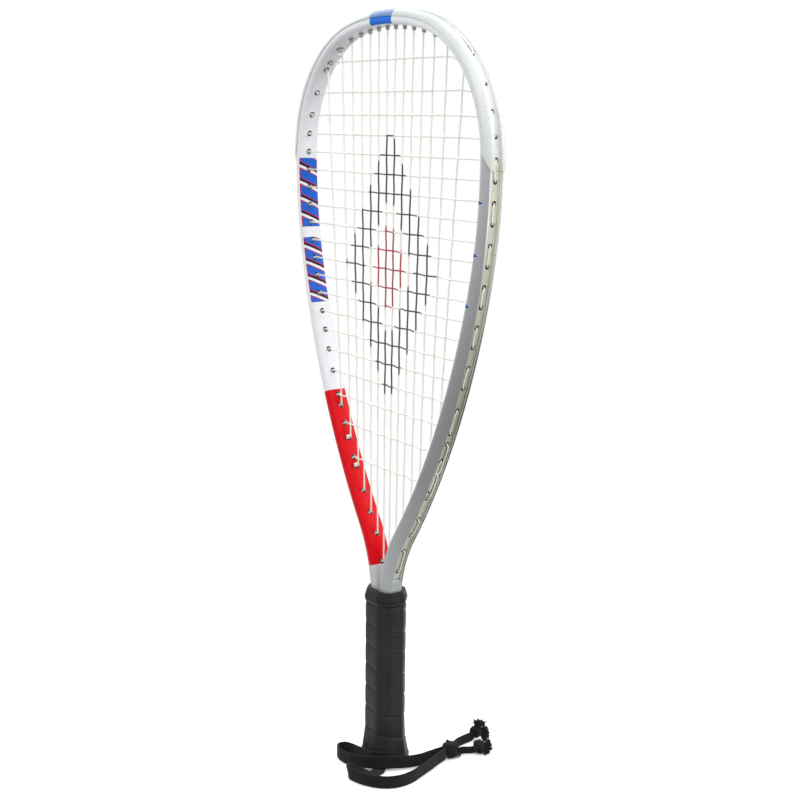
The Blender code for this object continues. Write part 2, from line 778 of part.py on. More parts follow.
def build_pallet(name, side):
    """Half of the moulded handle core, split in the plane of the strings, with a channel for the shanks."""
    inset = -GRIP_THICK - EASE
    core = loft(name, [grip_octagon(inset, PALLET_BOTTOM), grip_octagon(inset, GRIP_TOP)])
    pallet = add(core, name, foam, parts)
    half_x = (SHANK_GAP + THROAT_THICK) / 2 + SHANK_THICK / 2 + EASE
    half_y = SHANK_DEEP / 2 + EASE
    channel = loft(name + "_channel", [octagon(half_x, half_y, PALLET_CHAMFER, PALLET_BOTTOM - CUT_OVER),
                                       octagon(half_x, half_y, PALLET_CHAMFER, GRIP_TOP + CUT_OVER)])
    boolean(pallet, add_cutter(channel, name + "_channel"), "DIFFERENCE")
    work = bmesh.new()
    bmesh.ops.create_cube(work, size=1.0)
    wide = 2 * GRIP_WIDE
    bmesh.ops.scale(work, verts=work.verts, vec=(wide, wide, 2 * GRIP_TOP + wide))
    bmesh.ops.translate(work, verts=work.verts, vec=(0.0, -side * (wide - PALLET_SPLIT) / 2, 0.0))
    boolean(pallet, add_cutter(close_mesh(work, name + "_half"), name + "_half"), "DIFFERENCE")


def build_grip():
    """Grip tape: one band wound up the handle edge to edge, with a bevelled seam between its turns."""
    band = GRIP_PITCH - GRIP_SEAM
    corners = len(grip_octagon(0.0, 0.0))
    middle = GRIP_BOTTOM - band / 2 + GRIP_FIRST_TURN
    rings = []
    index = 0
    while middle - band / 2 < GRIP_TOP - GRIP_LAST_TURN:
        low = max(GRIP_BOTTOM, middle - band / 2)
        high = min(GRIP_TOP, middle + band / 2)
        bevel = min(GRIP_SEAM_BEVEL, (high - low) / 3)
        lower = [(-GRIP_THICK, low), (-bevel, low), (0.0, low + bevel)]
        section = lower + [(0.0, high - bevel), (-bevel, high), (-GRIP_THICK, high)]
        ring = [grip_octagon(offset + flare(z), z)[index % corners] for offset, z in section]
        rings.append(ring)
        middle += GRIP_PITCH / corners
        index += 1
    add(loft("grip_tape", rings), "grip_tape", leatherette, parts, smooth=20.0)


def build_collar():
    """Rubber collar over the top of the handle, round both shanks."""
    low = GRIP_TOP + EASE
    high = COLLAR_TOP
    tall = high - low
    levels = ((COLLAR_TUCK, 0.0), (0.0, 0.25), (0.0, 0.55), (COLLAR_LEAN / 3, 0.78), (COLLAR_LEAN, 1.0))
    outer = [grip_octagon(COLLAR_BULGE - inset, low + share * tall) for inset, share in levels]
    collar = add(loft("grip_collar", outer), "grip_collar", rubber, parts)
    top_s = outline.swage_top
    centre = outline.at(top_s)[0].x
    half_x = centre + THROAT_THICK / 2 + EASE + COLLAR_SLACK
    half_y = THROAT_DEEP / 2 + EASE
    hole = loft("collar_hole", [octagon(half_x, half_y, COLLAR_CHAMFER, low - CUT_OVER),
                                octagon(half_x, half_y, COLLAR_CHAMFER, high + CUT_OVER)])
    boolean(collar, add_cutter(hole, "collar_hole"), "DIFFERENCE")


def notch_box(name):
    """A way out for the cord: from the recess in the base through the rim, at the +X -Y corner face."""
    reach = GRIP_WIDE
    work = bmesh.new()
    bmesh.ops.create_cube(work, size=1.0)
    bmesh.ops.scale(work, verts=work.verts, vec=(reach, CAP_NOTCH_WIDE, 2 * CAP_RECESS))
    bmesh.ops.translate(work, verts=work.verts, vec=(reach / 2, 0.0, 0.0))
    turn = Matrix.Rotation(-math.pi / 4, 3, "Z")
    bmesh.ops.rotate(work, verts=work.verts, cent=(0.0, 0.0, 0.0), matrix=turn)
    return add_cutter(close_mesh(work, name), name)


def build_butt_cap():
    """Butt cap: a flared cup round the foot of the handle, with a recess and a way out for the cord."""
    under = -GRIP_THICK - EASE
    rim = flare(GRIP_BOTTOM) + CAP_RIM_PROUD
    step = GRIP_BOTTOM - EASE
    levels = [(rim - CAP_RIM_EDGE, 0.0), (rim, CAP_RIM_EDGE), (rim, step - 0.01 * MM), (rim + under, step)]
    for share in (0.08, 0.31, 0.62, 1.0):
        z = step + (CAP_TOP - step) * share
        levels.append((flare(z) + under, z))
    body = loft("butt_cap", [grip_octagon(offset, z) for offset, z in levels])
    cap = add(body, "butt_cap", plastic, parts)
    pocket = loft("cap_pocket", [grip_octagon(under + EASE, PALLET_BOTTOM - EASE),
                                 grip_octagon(under + EASE, CAP_TOP + CUT_OVER)])
    boolean(cap, add_cutter(pocket, "cap_pocket"), "DIFFERENCE")
    well = loft("cap_well", [grip_octagon(under - CAP_LEDGE, CAP_BASE_TOP),
                             grip_octagon(under - CAP_LEDGE, PALLET_BOTTOM)])
    boolean(cap, add_cutter(well, "cap_well"), "DIFFERENCE")
    recess = loft("cap_recess", [grip_octagon(rim - CAP_RIM_WALL, -CUT_OVER),
                                 grip_octagon(rim - CAP_RIM_WALL, CAP_RECESS)])
    boolean(cap, add_cutter(recess, "cap_recess"), "DIFFERENCE")
    work = bmesh.new()
    middle = Matrix.Translation((0.0, 0.0, CAP_BASE_TOP / 2))
    bmesh.ops.create_cone(work, cap_ends=True, segments=16, radius1=CAP_HOLE_RADIUS, radius2=CAP_HOLE_RADIUS,
                          depth=CAP_BASE_TOP + 2 * CUT_OVER, matrix=middle)
    boolean(cap, add_cutter(close_mesh(work, "cap_hole"), "cap_hole"), "DIFFERENCE")
    boolean(cap, notch_box("cap_notch"), "DIFFERENCE")


def lathe(name, profile, steps, surface):
    """A turned body from (radius, height) pairs, by the Screw modifier."""
    work = bmesh.new()
    points = [work.verts.new((radius, 0.0, height)) for radius, height in profile]
    for low, high in zip(points, points[1:]):
        work.edges.new((low, high))
    mesh = bpy.data.meshes.new(name)
    work.to_mesh(mesh)
    work.free()
    item = add(mesh, name, surface, parts, smooth=0)
    screw = item.modifiers.new("turn", "SCREW")
    screw.steps = steps
    screw.render_steps = steps
    screw.use_merge_vertices = True
    screw.merge_threshold = 0.01 * MM
    screw.use_normal_calculate = True
    screw.use_smooth_shade = True
    return item


def build_anchor():
    """Knot that holds the wrist cord inside the butt cap: its neck goes down through the hole in the base."""
    neck = CAP_HOLE_RADIUS - ANCHOR_SLACK
    head = ANCHOR_RADIUS
    seat = CAP_BASE_TOP
    foot = ANCHOR_FOOT
    profile = [(0.0, foot), (0.75 * neck, foot), (neck, 2.4 * foot), (neck, seat - ANCHOR_SLACK),
               (neck + EASE, seat + ANCHOR_SEAT), (0.88 * head, seat + 3.5 * ANCHOR_SEAT),
               (head, ANCHOR_TOP - ANCHOR_SHOULDER), (0.75 * head, ANCHOR_TOP - ANCHOR_CROWN),
               (0.0, ANCHOR_TOP)]
    lathe("cord_anchor_knot", profile, 8, webbing)


# Routes of the wrist cord, in millimetres and degrees: (across, toward, lift, tilt).
# Across and toward are X and -Y turned by CORD_TURN, so that toward points at the open side of the cord.
# A stretch stands on its edge at tilt 0 and lies flat at tilt 90; lift is its clearance over the floor.
ROOT_ROUTE = ((-0.8, 4.3, 0, 90), (-3.9, 22.4, 0, 90))
UPPER_ROUTE = (
    (3.0, 20.6, 3.9, 0), (-3.0, 20.0, 3.9, 0), (-8.4, 19.0, 3.8, 0), (-12.2, 15.6, 3.2, 0),
    (-16.4, 10.2, 2.2, 0), (-21.2, 3.8, 1.0, 0), (-25.6, -1.8, 0.2, 0), (-31.2, -4.8, 0, 0),
    (-36.0, -1.6, 0, 0), (-34.4, 5.8, 0, 0), (-28.4, 13.2, 0, 0), (-20.6, 19.6, 0.8, 0),
    (-11.4, 24.2, 2.3, 0), (-1.8, 25.6, 2.9, 0), (8.4, 23.8, 2.3, 0), (18.2, 20.0, 1.1, 0),
    (27.4, 14.6, 0.2, 0), (36.0, 7.8, 0, 0), (45.1, 1.8, 0.3, 0),
)
LOWER_ROUTE = (
    (-4.0, 23.1, 0, 90), (-5.0, 26.6, 0, 90), (-8.8, 30.0, 0, 90), (-14.0, 31.0, 0, 70),
    (-19.0, 30.8, 0, 30), (-23.6, 31.0, 0, 4), (-26.6, 33.2, 0, 0), (-25.4, 37.4, 0, 0),
    (-21.0, 42.0, 0, 0), (-13.8, 47.2, 0, 0), (-5.0, 50.6, 0, 0), (5.0, 51.2, 0, 0),
    (14.4, 47.6, 0, 0), (22.4, 40.4, 0, 0), (28.6, 31.4, 0, 0), (35.0, 22.0, 0, 0),
    (41.0, 12.8, 0.1, 0), (47.1, 4.5, 0.4, 0),
)
TAIL_A_ROUTE = ((52.5, -7.7, 0.6, 0), (55.6, -14.4, 0.3, 0), (60.4, -20.8, 0.1, 0), (67.6, -27.8, 0, 0))
TAIL_B_ROUTE = ((56.6, -4.1, 0.4, 0), (61.6, -6.2, 0.2, 0), (67.8, -7.3, 0, 0))
# Middles of the knot and of the two frayed ends: (across, toward, height)
CORD_KNOT_PLACE = (51.0, -1.0, 6.4)
END_A_PLACE = (71.6, -31.4, 7.4)
END_B_PLACE = (74.0, -8.4, 5.2)


def cord_point(across, toward, height):
    turn = Matrix.Rotation(CORD_TURN, 3, "Z")
    return turn @ Vector((across, -toward, height)) * MM


def route_stop(stop, wide, thick):
    """Middle of the webbing at a stop of its route, with its tilt."""
    across, toward, lift, degrees = stop
    tilt = math.radians(degrees)
    rest = EASE + (wide * math.cos(tilt) + thick * math.sin(tilt)) / 2
    return cord_point(across, toward, lift + rest / MM), tilt


def smooth_route(nodes, step):
    """Points every step or so on a smooth curve through the route's stops, each with its tilt."""
    made = []
    for i in range(len(nodes) - 1):
        before, a, b = nodes[max(i - 1, 0)], nodes[i], nodes[i + 1]
        after = nodes[min(i + 2, len(nodes) - 1)]
        count = max(1, round((b[0] - a[0]).length / step))
        for k in range(count):
            t = k / count
            t2, t3 = t ** 2, t ** 3
            place = before[0] * (2 * t2 - t3 - t) + a[0] * (3 * t3 - 5 * t2 + 2)
            place = (place + b[0] * (4 * t2 - 3 * t3 + t) + after[0] * (t3 - t2)) / 2
            made.append((place, a[1] + (b[1] - a[1]) * t))
    made.append(nodes[-1])
    return made


def web(name, route, wide, thick=WEB_THICK):
    """A stretch of flat webbing: a curve drawn up to the webbing's width, with a thin bevel."""
    curve = bpy.data.curves.new(name, "CURVE")
    curve.dimensions = "3D"
    curve.twist_mode = "Z_UP"
    curve.extrude = (wide - thick) / 2
    curve.bevel_depth = thick / 2
    curve.bevel_resolution = 0
    curve.use_fill_caps = True
    points = smooth_route([route_stop(stop, wide, thick) for stop in route], CORD_STEP)
    spline = curve.splines.new("POLY")
    spline.points.add(len(points) - 1)
    for target, (place, tilt) in zip(spline.points, points):
        target.co = (*place, 1.0)
        target.tilt = tilt
    curve.materials.append(webbing)
    item = bpy.data.objects.new(name, curve)
    parts.objects.link(item)
    length = sum((b[0] - a[0]).length for a, b in zip(points, points[1:]))
    print(name, "length mm", round(length / MM, 1), "points", len(points))


def lump(name, centre, size, rounds):
    """A soft knot: a coarse cage rounded by Subdivision Surface."""
    work = bmesh.new()
    bmesh.ops.create_cube(work, size=1.0)
    bmesh.ops.scale(work, verts=work.verts, vec=[side * LUMP_CAGE for side in size])
    turn = Matrix.Rotation(CORD_TURN, 3, "Z")
    bmesh.ops.rotate(work, verts=work.verts, cent=(0.0, 0.0, 0.0), matrix=turn)
    bmesh.ops.translate(work, verts=work.verts, vec=centre)
    item = add(close_mesh(work, name), name, webbing, parts, smooth=60.0)
    step = item.modifiers.new("round", "SUBSURF")
    step.levels = rounds
    step.render_levels = rounds


def build_cord():
    build_anchor()
    web("cord_root", ROOT_ROUTE, WEB_WIDE, 2 * WEB_THICK + EASE)
    web("cord_strand_upper", UPPER_ROUTE, WEB_WIDE)
    web("cord_strand_lower", LOWER_ROUTE, WEB_WIDE)
    lump("cord_knot", cord_point(*CORD_KNOT_PLACE), CORD_KNOT_SIZE, 2)
    web("cord_tail_a", TAIL_A_ROUTE, WEB_WIDE * TAIL_A_SHARE)
    web("cord_tail_b", TAIL_B_ROUTE, WEB_WIDE * TAIL_B_SHARE)
    lump("cord_end_a", cord_point(*END_A_PLACE), END_A_SIZE, 2)
    lump("cord_end_b", cord_point(*END_B_PLACE), END_B_SIZE, 2)


clear_scene()
parts = new_collection("racquetball_racket")
cutters = new_collection("cutters")
enamel = white_enamel()
nylon = clear_nylon()
gut = cream_gut()
foam = handle_foam()
plastic = cap_plastic()
leatherette = grip_leatherette()
rubber = black_rubber()
webbing = black_webbing()
build_frame()
build_strips()
main_points = build_main_string()
cross_points = build_cross_string()
build_knots()
build_pallet("pallet_front", -1)
build_pallet("pallet_back", 1)
build_grip()
build_collar()
build_butt_cap()
build_cord()
main_gap = least_gap(main_points, 2 * LOOP_START, STRING_RADIUS)
cross_gap = least_gap(cross_points, 2 * LOOP_START, STRING_RADIUS)
print("main string least gap to itself, mm:", round(main_gap / MM, 2))
print("cross string least gap to itself, mm:", round(cross_gap / MM, 2))
print("grip band gap between turns, mm:", round(GRIP_SEAM / MM, 2))
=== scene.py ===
"""Dresses the racquetball racket: fine meshes, procedural materials, floor, light and camera.

Lengths are in metres, apart from the tables that say millimetres.
"""
import math
import random

import bmesh
import bpy
from mathutils import Matrix, Vector


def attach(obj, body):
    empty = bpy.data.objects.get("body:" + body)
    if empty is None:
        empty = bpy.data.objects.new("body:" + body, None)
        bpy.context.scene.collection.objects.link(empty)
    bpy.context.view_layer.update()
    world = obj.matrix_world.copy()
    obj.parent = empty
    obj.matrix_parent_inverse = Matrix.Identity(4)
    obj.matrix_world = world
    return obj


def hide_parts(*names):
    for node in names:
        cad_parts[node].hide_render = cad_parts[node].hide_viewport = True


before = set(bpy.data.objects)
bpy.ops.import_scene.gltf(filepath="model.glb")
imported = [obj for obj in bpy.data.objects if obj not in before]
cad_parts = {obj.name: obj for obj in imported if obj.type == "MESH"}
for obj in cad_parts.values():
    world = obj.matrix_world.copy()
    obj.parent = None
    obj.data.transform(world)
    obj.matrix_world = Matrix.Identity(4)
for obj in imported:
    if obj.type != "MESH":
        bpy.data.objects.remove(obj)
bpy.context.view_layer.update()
MM = 0.001
SIDE_Y = Vector((0.0, 1.0, 0.0))

# Camera, fitted to the string grid, the crown and the butt
CAMERA_PLACE = (0.79828, -0.55053, 0.48272)
CAMERA_YAW, CAMERA_PITCH, CAMERA_ROLL = math.radians(54.889), math.radians(11.648), math.radians(-0.6836)
SENSOR_MM, LENS_MM = 36.0, 60.75


def link(item):
    bpy.context.scene.collection.objects.link(item)
    return item


def place_camera():
    yaw, pitch, roll = CAMERA_YAW, CAMERA_PITCH, CAMERA_ROLL
    ahead = Vector((-math.sin(yaw) * math.cos(pitch), math.cos(yaw) * math.cos(pitch), -math.sin(pitch)))
    right = Vector((math.cos(yaw), math.sin(yaw), 0.0))
    down = ahead.cross(right)
    across = right * math.cos(roll) + down * math.sin(roll)
    drop = down * math.cos(roll) - right * math.sin(roll)
    data = bpy.data.cameras.new("camera")
    data.sensor_width = SENSOR_MM
    data.lens = LENS_MM
    data.clip_start = 0.05
    data.clip_end = 20.0
    camera = link(bpy.data.objects.new("camera", data))
    turn = Matrix((across, -drop, -ahead)).transposed().to_4x4()
    camera.matrix_world = Matrix.Translation(CAMERA_PLACE) @ turn
    bpy.context.scene.camera = camera


place_camera()


# Meshes
def change_mesh(mesh, operation):
    """Runs a bmesh operation on a mesh."""
    work = bmesh.new()
    work.from_mesh(mesh)
    operation(work)
    work.to_mesh(mesh)
    work.free()


def finish_mesh(mesh, smooth=40.0):
    change_mesh(mesh, lambda work: bmesh.ops.recalc_face_normals(work, faces=work.faces))
    mesh.shade_smooth()
    mesh.set_sharp_from_angle(angle=math.radians(smooth))


class Build:
    """Gathers vertices, faces and texture places of one mesh."""

    def __init__(self):
        self.verts = []
        self.faces = []
        self.places = []

    def sweep(self, rings, along, around, caps=True):
        """Joins closed rings of points; along has one number for a ring, around one more than its points."""
        base = len(self.verts)
        size = len(rings[0])
        for ring in rings:
            self.verts += [tuple(point) for point in ring]
        for i in range(len(rings) - 1):
            low, high = base + i * size, base + (i + 1) * size
            for j in range(size):
                k = (j + 1) % size
                self.faces.append((low + j, low + k, high + k, high + j))
                self.places += [(along[i], around[i][j]), (along[i], around[i][j + 1]),
                                (along[i + 1], around[i + 1][j + 1]), (along[i + 1], around[i + 1][j])]
        if caps:
            for i, order in ((0, range(size - 1, -1, -1)), (len(rings) - 1, range(size))):
                self.faces.append(tuple(base + i * size + j for j in order))
                self.places += [(along[i], around[i][j]) for j in order]

    def item(self, name, surface, smooth=50.0):
        mesh = bpy.data.meshes.new(name)
        mesh.from_pydata(self.verts, [], self.faces)
        layer = mesh.uv_layers.new(name="along")
        layer.data.foreach_set("uv", [c for place in self.places for c in place])
        mesh.materials.append(surface)
        finish_mesh(mesh, smooth)
        return link(bpy.data.objects.new(name, mesh))


def seat(item, replaced):
    """Puts a finished piece on the body, in place of its CAD node."""
    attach(item, "root")
    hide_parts(replaced)
    return item


def lengths(points):
    """Distance along a line at each of its points."""
    made = [0.0]
    for a, b in zip(points, points[1:]):
        made.append(made[-1] + (b - a).length)
    return made


def angles(count):
    """A full turn in equal steps."""
    return [2 * math.pi * k / count for k in range(count)]


def squared(value, power):
    """Brings a sine or cosine nearer to 1, for a circle with squarer corners."""
    return math.copysign(abs(value) ** power, value)


def catmull(before, a, b, after, t):
    """The place at t between a and b on a Catmull-Rom curve."""
    w = (-t ** 3 + 2 * t ** 2 - t, 3 * t ** 3 - 5 * t ** 2 + 2, -3 * t ** 3 + 4 * t ** 2 + t, t ** 3 - t ** 2)
    return (before * w[0] + a * w[1] + b * w[2] + after * w[3]) / 2


def spline(points, step):
    """Points every step or so on a smooth curve through the given ones."""
    chain = [points[0] * 2 - points[1], *points, points[-1] * 2 - points[-2]]
    made = []
    for i in range(len(points) - 1):
        count = max(1, math.ceil((points[i + 1] - points[i]).length / step))
        made += [catmull(*chain[i:i + 4], k / count) for k in range(count)]
    return made + [points[-1]]


def add_tube(build, points, radius, sides):
    """Sweeps a circle, turned as little as possible; radius is a number or one for each point."""
    rings = []
    up = SIDE_Y if abs((points[1] - points[0]).normalized().y) < 0.9 else Vector((1.0, 0.0, 0.0))
    for i, point in enumerate(points):
        ahead = (points[min(i + 1, len(points) - 1)] - points[max(i - 1, 0)]).normalized()
        up = (up - ahead * up.dot(ahead)).normalized()
        side = ahead.cross(up)
        r = radius[i] if isinstance(radius, list) else radius
        rings.append([point + (up * math.cos(q) + side * math.sin(q)) * r for q in angles(sides)])
    build.sweep(rings, lengths(points), [[k / sides for k in range(sides + 1)]] * len(points))


def cut(item, tool):
    """Cuts a tool out of a piece and removes it; the new faces keep the tool's material, if it has one."""
    step = item.modifiers.new("cut", "BOOLEAN")
    step.operation = "DIFFERENCE"
    step.object = tool
    step.solver = "MANIFOLD"
    if tool.data.materials:
        step.material_mode = "TRANSFER"
    bpy.context.view_layer.update()
    seen = bpy.context.evaluated_depsgraph_get()
    mesh = bpy.data.meshes.new_from_object(item.evaluated_get(seen), depsgraph=seen)
    item.modifiers.clear()
    item.data = mesh
    bpy.data.objects.remove(tool)


# Materials
class Nodes:
    """Short hands for the nodes of one tree."""

    def __init__(self, tree):
        self.tree = tree

    def new(self, kind, **settings):
        node = self.tree.nodes.new(kind)
        for key, value in settings.items():
            setattr(node, key, value)
        return node

    def put(self, socket, value):
        if isinstance(value, bpy.types.NodeSocket):
            self.tree.links.new(value, socket)
        elif isinstance(value, tuple):
            socket.default_value = (*value, 1.0) if len(value) == 3 and socket.type == "RGBA" else value
        else:
            socket.default_value = value

    def fill(self, node, *values):
        """Sets a node's first inputs and returns its first output."""
        for socket, value in zip(node.inputs, values):
            self.put(socket, value)
        return node.outputs[0]

    def math(self, operation, *values):
        return self.fill(self.new("ShaderNodeMath", operation=operation), *values)

    def add(self, *values):
        return self.math("ADD", *values)

    def less(self, *values):
        return self.math("SUBTRACT", *values)

    def times(self, *values):
        return self.math("MULTIPLY", *values)

    def size(self, value):
        return self.math("ABSOLUTE", value)

    def reach(self, a, b):
        return self.math("SQRT", self.add(self.math("POWER", a, 2.0), self.math("POWER", b, 2.0)))

    def blend(self, share, first, second):
        """A mix of two shaders."""
        return self.fill(self.new("ShaderNodeMixShader"), share, first, second)

    def watched(self):
        """1 for rays from the camera, through glass or off gloss."""
        rays = self.new("ShaderNodeLightPath").outputs
        seen = self.math("MAXIMUM", rays["Is Camera Ray"], rays["Is Transmission Ray"])
        return self.math("MAXIMUM", seen, rays["Is Glossy Ray"])


class Surface(Nodes):
    """One procedural material."""

    def __init__(self, name, roughness, metallic=0.0, specular=0.5):
        self.material = bpy.data.materials.new(name)
        self.material.use_nodes = True
        super().__init__(self.material.node_tree)
        self.shader = self.tree.nodes["Principled BSDF"]
        self.set("Roughness", roughness)
        self.set("Metallic", metallic)
        self.set("Specular IOR Level", specular)

    def set(self, name, value):
        self.put(self.shader.inputs[name], value)

    def place(self):
        """The object's own place, in metres."""
        return self.new("ShaderNodeTexCoord").outputs["Object"]

    def split(self, vector):
        node = self.new("ShaderNodeSeparateXYZ")
        self.fill(node, vector)
        return tuple(node.outputs)

    def along(self):
        """Place along and around the piece, in metres."""
        return self.split(self.new("ShaderNodeUVMap", uv_map="along").outputs[0])[:2]

    def texture(self, kind, output, vector, values, **settings):
        node = self.new(kind, **settings)
        self.put(node.inputs["Vector"], vector or self.place())
        for name, value in values.items():
            self.put(node.inputs[name], value)
        return node.outputs[output]

    def noise(self, scale, detail=3.0, rough=0.5, vector=None):
        values = {"Scale": scale, "Detail": detail, "Roughness": rough}
        return self.texture("ShaderNodeTexNoise", "Fac", vector, values)

    def cells(self, scale, feature="F1", vector=None):
        return self.texture("ShaderNodeTexVoronoi", "Distance", vector, {"Scale": scale}, feature=feature)

    def ramp(self, value, low, high, first=0.0, last=1.0, kind="LINEAR"):
        node = self.new("ShaderNodeMapRange", interpolation_type=kind)
        return self.fill(node, value, low, high, first, last)

    def mix(self, share, first, second, blend="MIX"):
        node = self.new("ShaderNodeMix", data_type="RGBA", blend_type=blend)
        for index, value in ((0, share), (6, first), (7, second)):
            self.put(node.inputs[index], value)
        return node.outputs[2]

    def mottle(self, cloud, first, second):
        """Two colours by a noise."""
        return self.mix(self.ramp(cloud, 0.3, 0.7), first, second)

    def bump(self, height, distance, strength=1.0, under=None):
        node = self.new("ShaderNodeBump")
        for name, value in (("Strength", strength), ("Distance", distance), ("Height", height)):
            self.put(node.inputs[name], value)
        if under is not None:
            self.put(node.inputs["Normal"], under)
        return node.outputs[0]

    def between(self, value, low, high, soft):
        """1 where value is between low and high, with soft edges."""
        rise = self.ramp(value, low - soft, low + soft)
        fall = self.ramp(value, high - soft, high + soft, 1.0, 0.0)
        return self.times(rise, fall)

    def rounded(self, u, v, box, corner, soft):
        """1 inside a rounded rectangle (low u, high u, low v, high v)."""
        gaps = []
        for value, low, high in ((u, box[0], box[1]), (v, box[2], box[3])):
            off = self.size(self.less(value, (low + high) / 2))
            gaps.append(self.math("MAXIMUM", self.less(off, (high - low) / 2 - corner), 0.0))
        return self.ramp(self.reach(*gaps), corner - soft, corner + soft, 1.0, 0.0)


# The frame's line and section, in the source's sizes
LENGTH = 558.8 * MM
RIM_RISE = 1.0 * MM
HEAD_THICK, THROAT_THICK, SHANK_THICK = 9.6 * MM, 12.0 * MM, 11.0 * MM
HEAD_DEEP, THROAT_DEEP, SHANK_DEEP = 17.0 * MM, 17.4 * MM, 16.4 * MM
TUBE_WALL = 1.2 * MM
GROOVE_DEEP, GROOVE_WIDE, GROOVE_RUNOUT = 3.0 * MM, 8.4 * MM, 3.0 * MM
LIP_WIDE = 0.4 * MM
SHANK_GAP, SHANK_BOTTOM = 0.6 * MM, 24.0 * MM
GRIP_OVER_SHANK, COLLAR_TALL, COLLAR_TO_GROOVE = 1.75 * MM, 11.0 * MM, 8.5 * MM
EASE = 0.3 * MM
# Radius in metres and turn in degrees of the head's arcs from the crown down, and of the throat's
HEAD_ARCS = ((0.202, 13.0), (0.0904, 76.0), (0.344, 12.6))
THROAT_ARC = (0.106, 33.8)


class Outline:
    """Centre line of one limb: distance along it from the crown gives place and direction."""

    def __init__(self):
        shank_x = (SHANK_GAP + THROAT_THICK) / 2
        arcs = [(radius, math.radians(sweep)) for radius, sweep in HEAD_ARCS]
        turned = sum(sweep for _, sweep in arcs)
        throat, lean = THROAT_ARC[0], math.radians(THROAT_ARC[1])
        lowest = math.pi / 2 + lean
        x, heading = 0.0, 0.0
        for radius, sweep in arcs:
            x += radius * (math.sin(heading + sweep) - math.sin(heading))
            heading += sweep
        taper = (x - shank_x - throat * (1 - math.cos(lean))) / (math.sin(turned) - math.sin(lowest))
        arcs += [(taper, lowest - turned), (-throat, -lean)]
        self.pieces = []
        x, z, heading, start = 0.0, LENGTH - RIM_RISE - HEAD_THICK / 2, 0.0, 0.0
        for radius, sweep in arcs:
            self.pieces.append((start, x, z, heading, radius))
            x += radius * (math.sin(heading + sweep) - math.sin(heading))
            z += radius * (math.cos(heading + sweep) - math.cos(heading))
            heading += sweep
            start += abs(radius * sweep)
        self.pieces.append((start, x, z, heading, None))
        self.shank_start, self.shank_top = start, z
        self.end = start + z - SHANK_BOTTOM

    def at(self, s):
        """Place, outward normal and direction; s is negative on the left limb."""
        side = -1.0 if s < 0 else 1.0
        distance = abs(s)
        start, x, z, heading, radius = [p for p in self.pieces if p[0] <= distance + 1e-12][-1]
        if radius is None:
            z -= distance - start
        else:
            turn = heading + (distance - start) / radius
            x += radius * (math.sin(turn) - math.sin(heading))
            z += radius * (math.cos(turn) - math.cos(heading))
            heading = turn
        normal = Vector((side * math.sin(heading), 0.0, math.cos(heading)))
        along = Vector((math.cos(heading), 0.0, -side * math.sin(heading)))
        return Vector((side * x, 0.0, z)), normal, along

    def find(self, low, high, test):
        """The distance at which test turns positive."""
        for _ in range(50):
            middle = (low + high) / 2
            if test(middle) > 0:
                high = middle
            else:
                low = middle
        return (low + high) / 2


def blend(value, low, high):
    """0 at low, 1 at high, even between."""
    return min(1.0, max(0.0, (value - low) / (high - low)))


outline = Outline()
GRIP_TOP = outline.shank_top + GRIP_OVER_SHANK
COLLAR_TOP = GRIP_TOP + COLLAR_TALL
taper_start = outline.pieces[3][0]
swage_top = outline.shank_start - (COLLAR_TOP - outline.shank_top)
swage_low = outline.shank_start + (outline.shank_top - GRIP_TOP)
groove_end = outline.find(0.0, outline.end, lambda s: COLLAR_TOP + COLLAR_TO_GROOVE - outline.at(s)[0].z)


def tube_size(s):
    """Half the tube's thickness and half its depth."""
    grow = blend(abs(s), taper_start, swage_top)
    shrink = blend(abs(s), swage_top, swage_low)
    thick = HEAD_THICK + (THROAT_THICK - HEAD_THICK) * grow + (SHANK_THICK - THROAT_THICK) * shrink
    deep = HEAD_DEEP + (THROAT_DEEP - HEAD_DEEP) * grow + (SHANK_DEEP - THROAT_DEEP) * shrink
    return thick / 2, deep / 2


def face_curve(s):
    """The tube's skin from the groove's lip over the face to the inner middle: (out, across) pairs."""
    h, d = tube_size(s)
    lip = GROOVE_WIDE / 2 + LIP_WIDE
    marks = [(h - 0.02 * MM, lip + 0.05 * MM), (0.85 * h, lip + 0.42 * (0.76 * d - lip)),
             (0.62 * h, 0.765 * d), (0.34 * h, 0.89 * d), (0.05 * h, 0.975 * d), (-0.20 * h, d),
             (-0.42 * h, d), (-0.64 * h, 0.955 * d), (-0.83 * h, 0.845 * d), (-0.95 * h, 0.64 * d),
             (-h, 0.40 * d), (-1.004 * h, 0.18 * d), (-1.004 * h, 0.0)]
    points = [Vector((out, across, 0.0)) for out, across in marks]
    chain = [points[0] * 2 - points[1], *points, Vector((points[-1].x, -points[-2].y, 0.0))]
    made = [catmull(*chain[i:i + 4], k / 3) for i in range(len(points) - 1) for k in range(3)]
    return [(p.x, p.y) for p in made + [points[-1]]]


def tube_half(s):
    """Half the tube's section, from the middle of the groove's floor to the inner middle."""
    h, _ = tube_size(s)
    depth = GROOVE_DEEP * (1.0 - blend(abs(s), groove_end - GROOVE_RUNOUT, groove_end))
    floor = h - depth
    half = GROOVE_WIDE / 2
    wall = [(floor, 0.0), (floor, half * 0.35), (floor, half * 0.7), (floor, half - 0.35 * MM),
            (floor + 0.1 * depth, half - 0.06 * MM), (floor + 0.3 * depth, half),
            (floor + 0.85 * depth, half + 0.12 * MM), (floor + 0.97 * depth, half + 0.22 * MM)]
    return wall + face_curve(s)


def core_half(s):
    """Half the section of the tube's hollow."""
    h, d = tube_size(s)
    floor, h_in, d_in = h - GROOVE_DEEP - TUBE_WALL, h - TUBE_WALL, d - TUBE_WALL
    return [(floor, 0.0), (floor, GROOVE_WIDE / 2 - 0.7 * MM), (floor - 0.3 * MM, 0.62 * d_in),
            (-0.25 * h, d_in), (-0.7 * h_in, 0.8 * d_in), (-h_in, 0.5 * d_in), (-h_in, 0.0)]


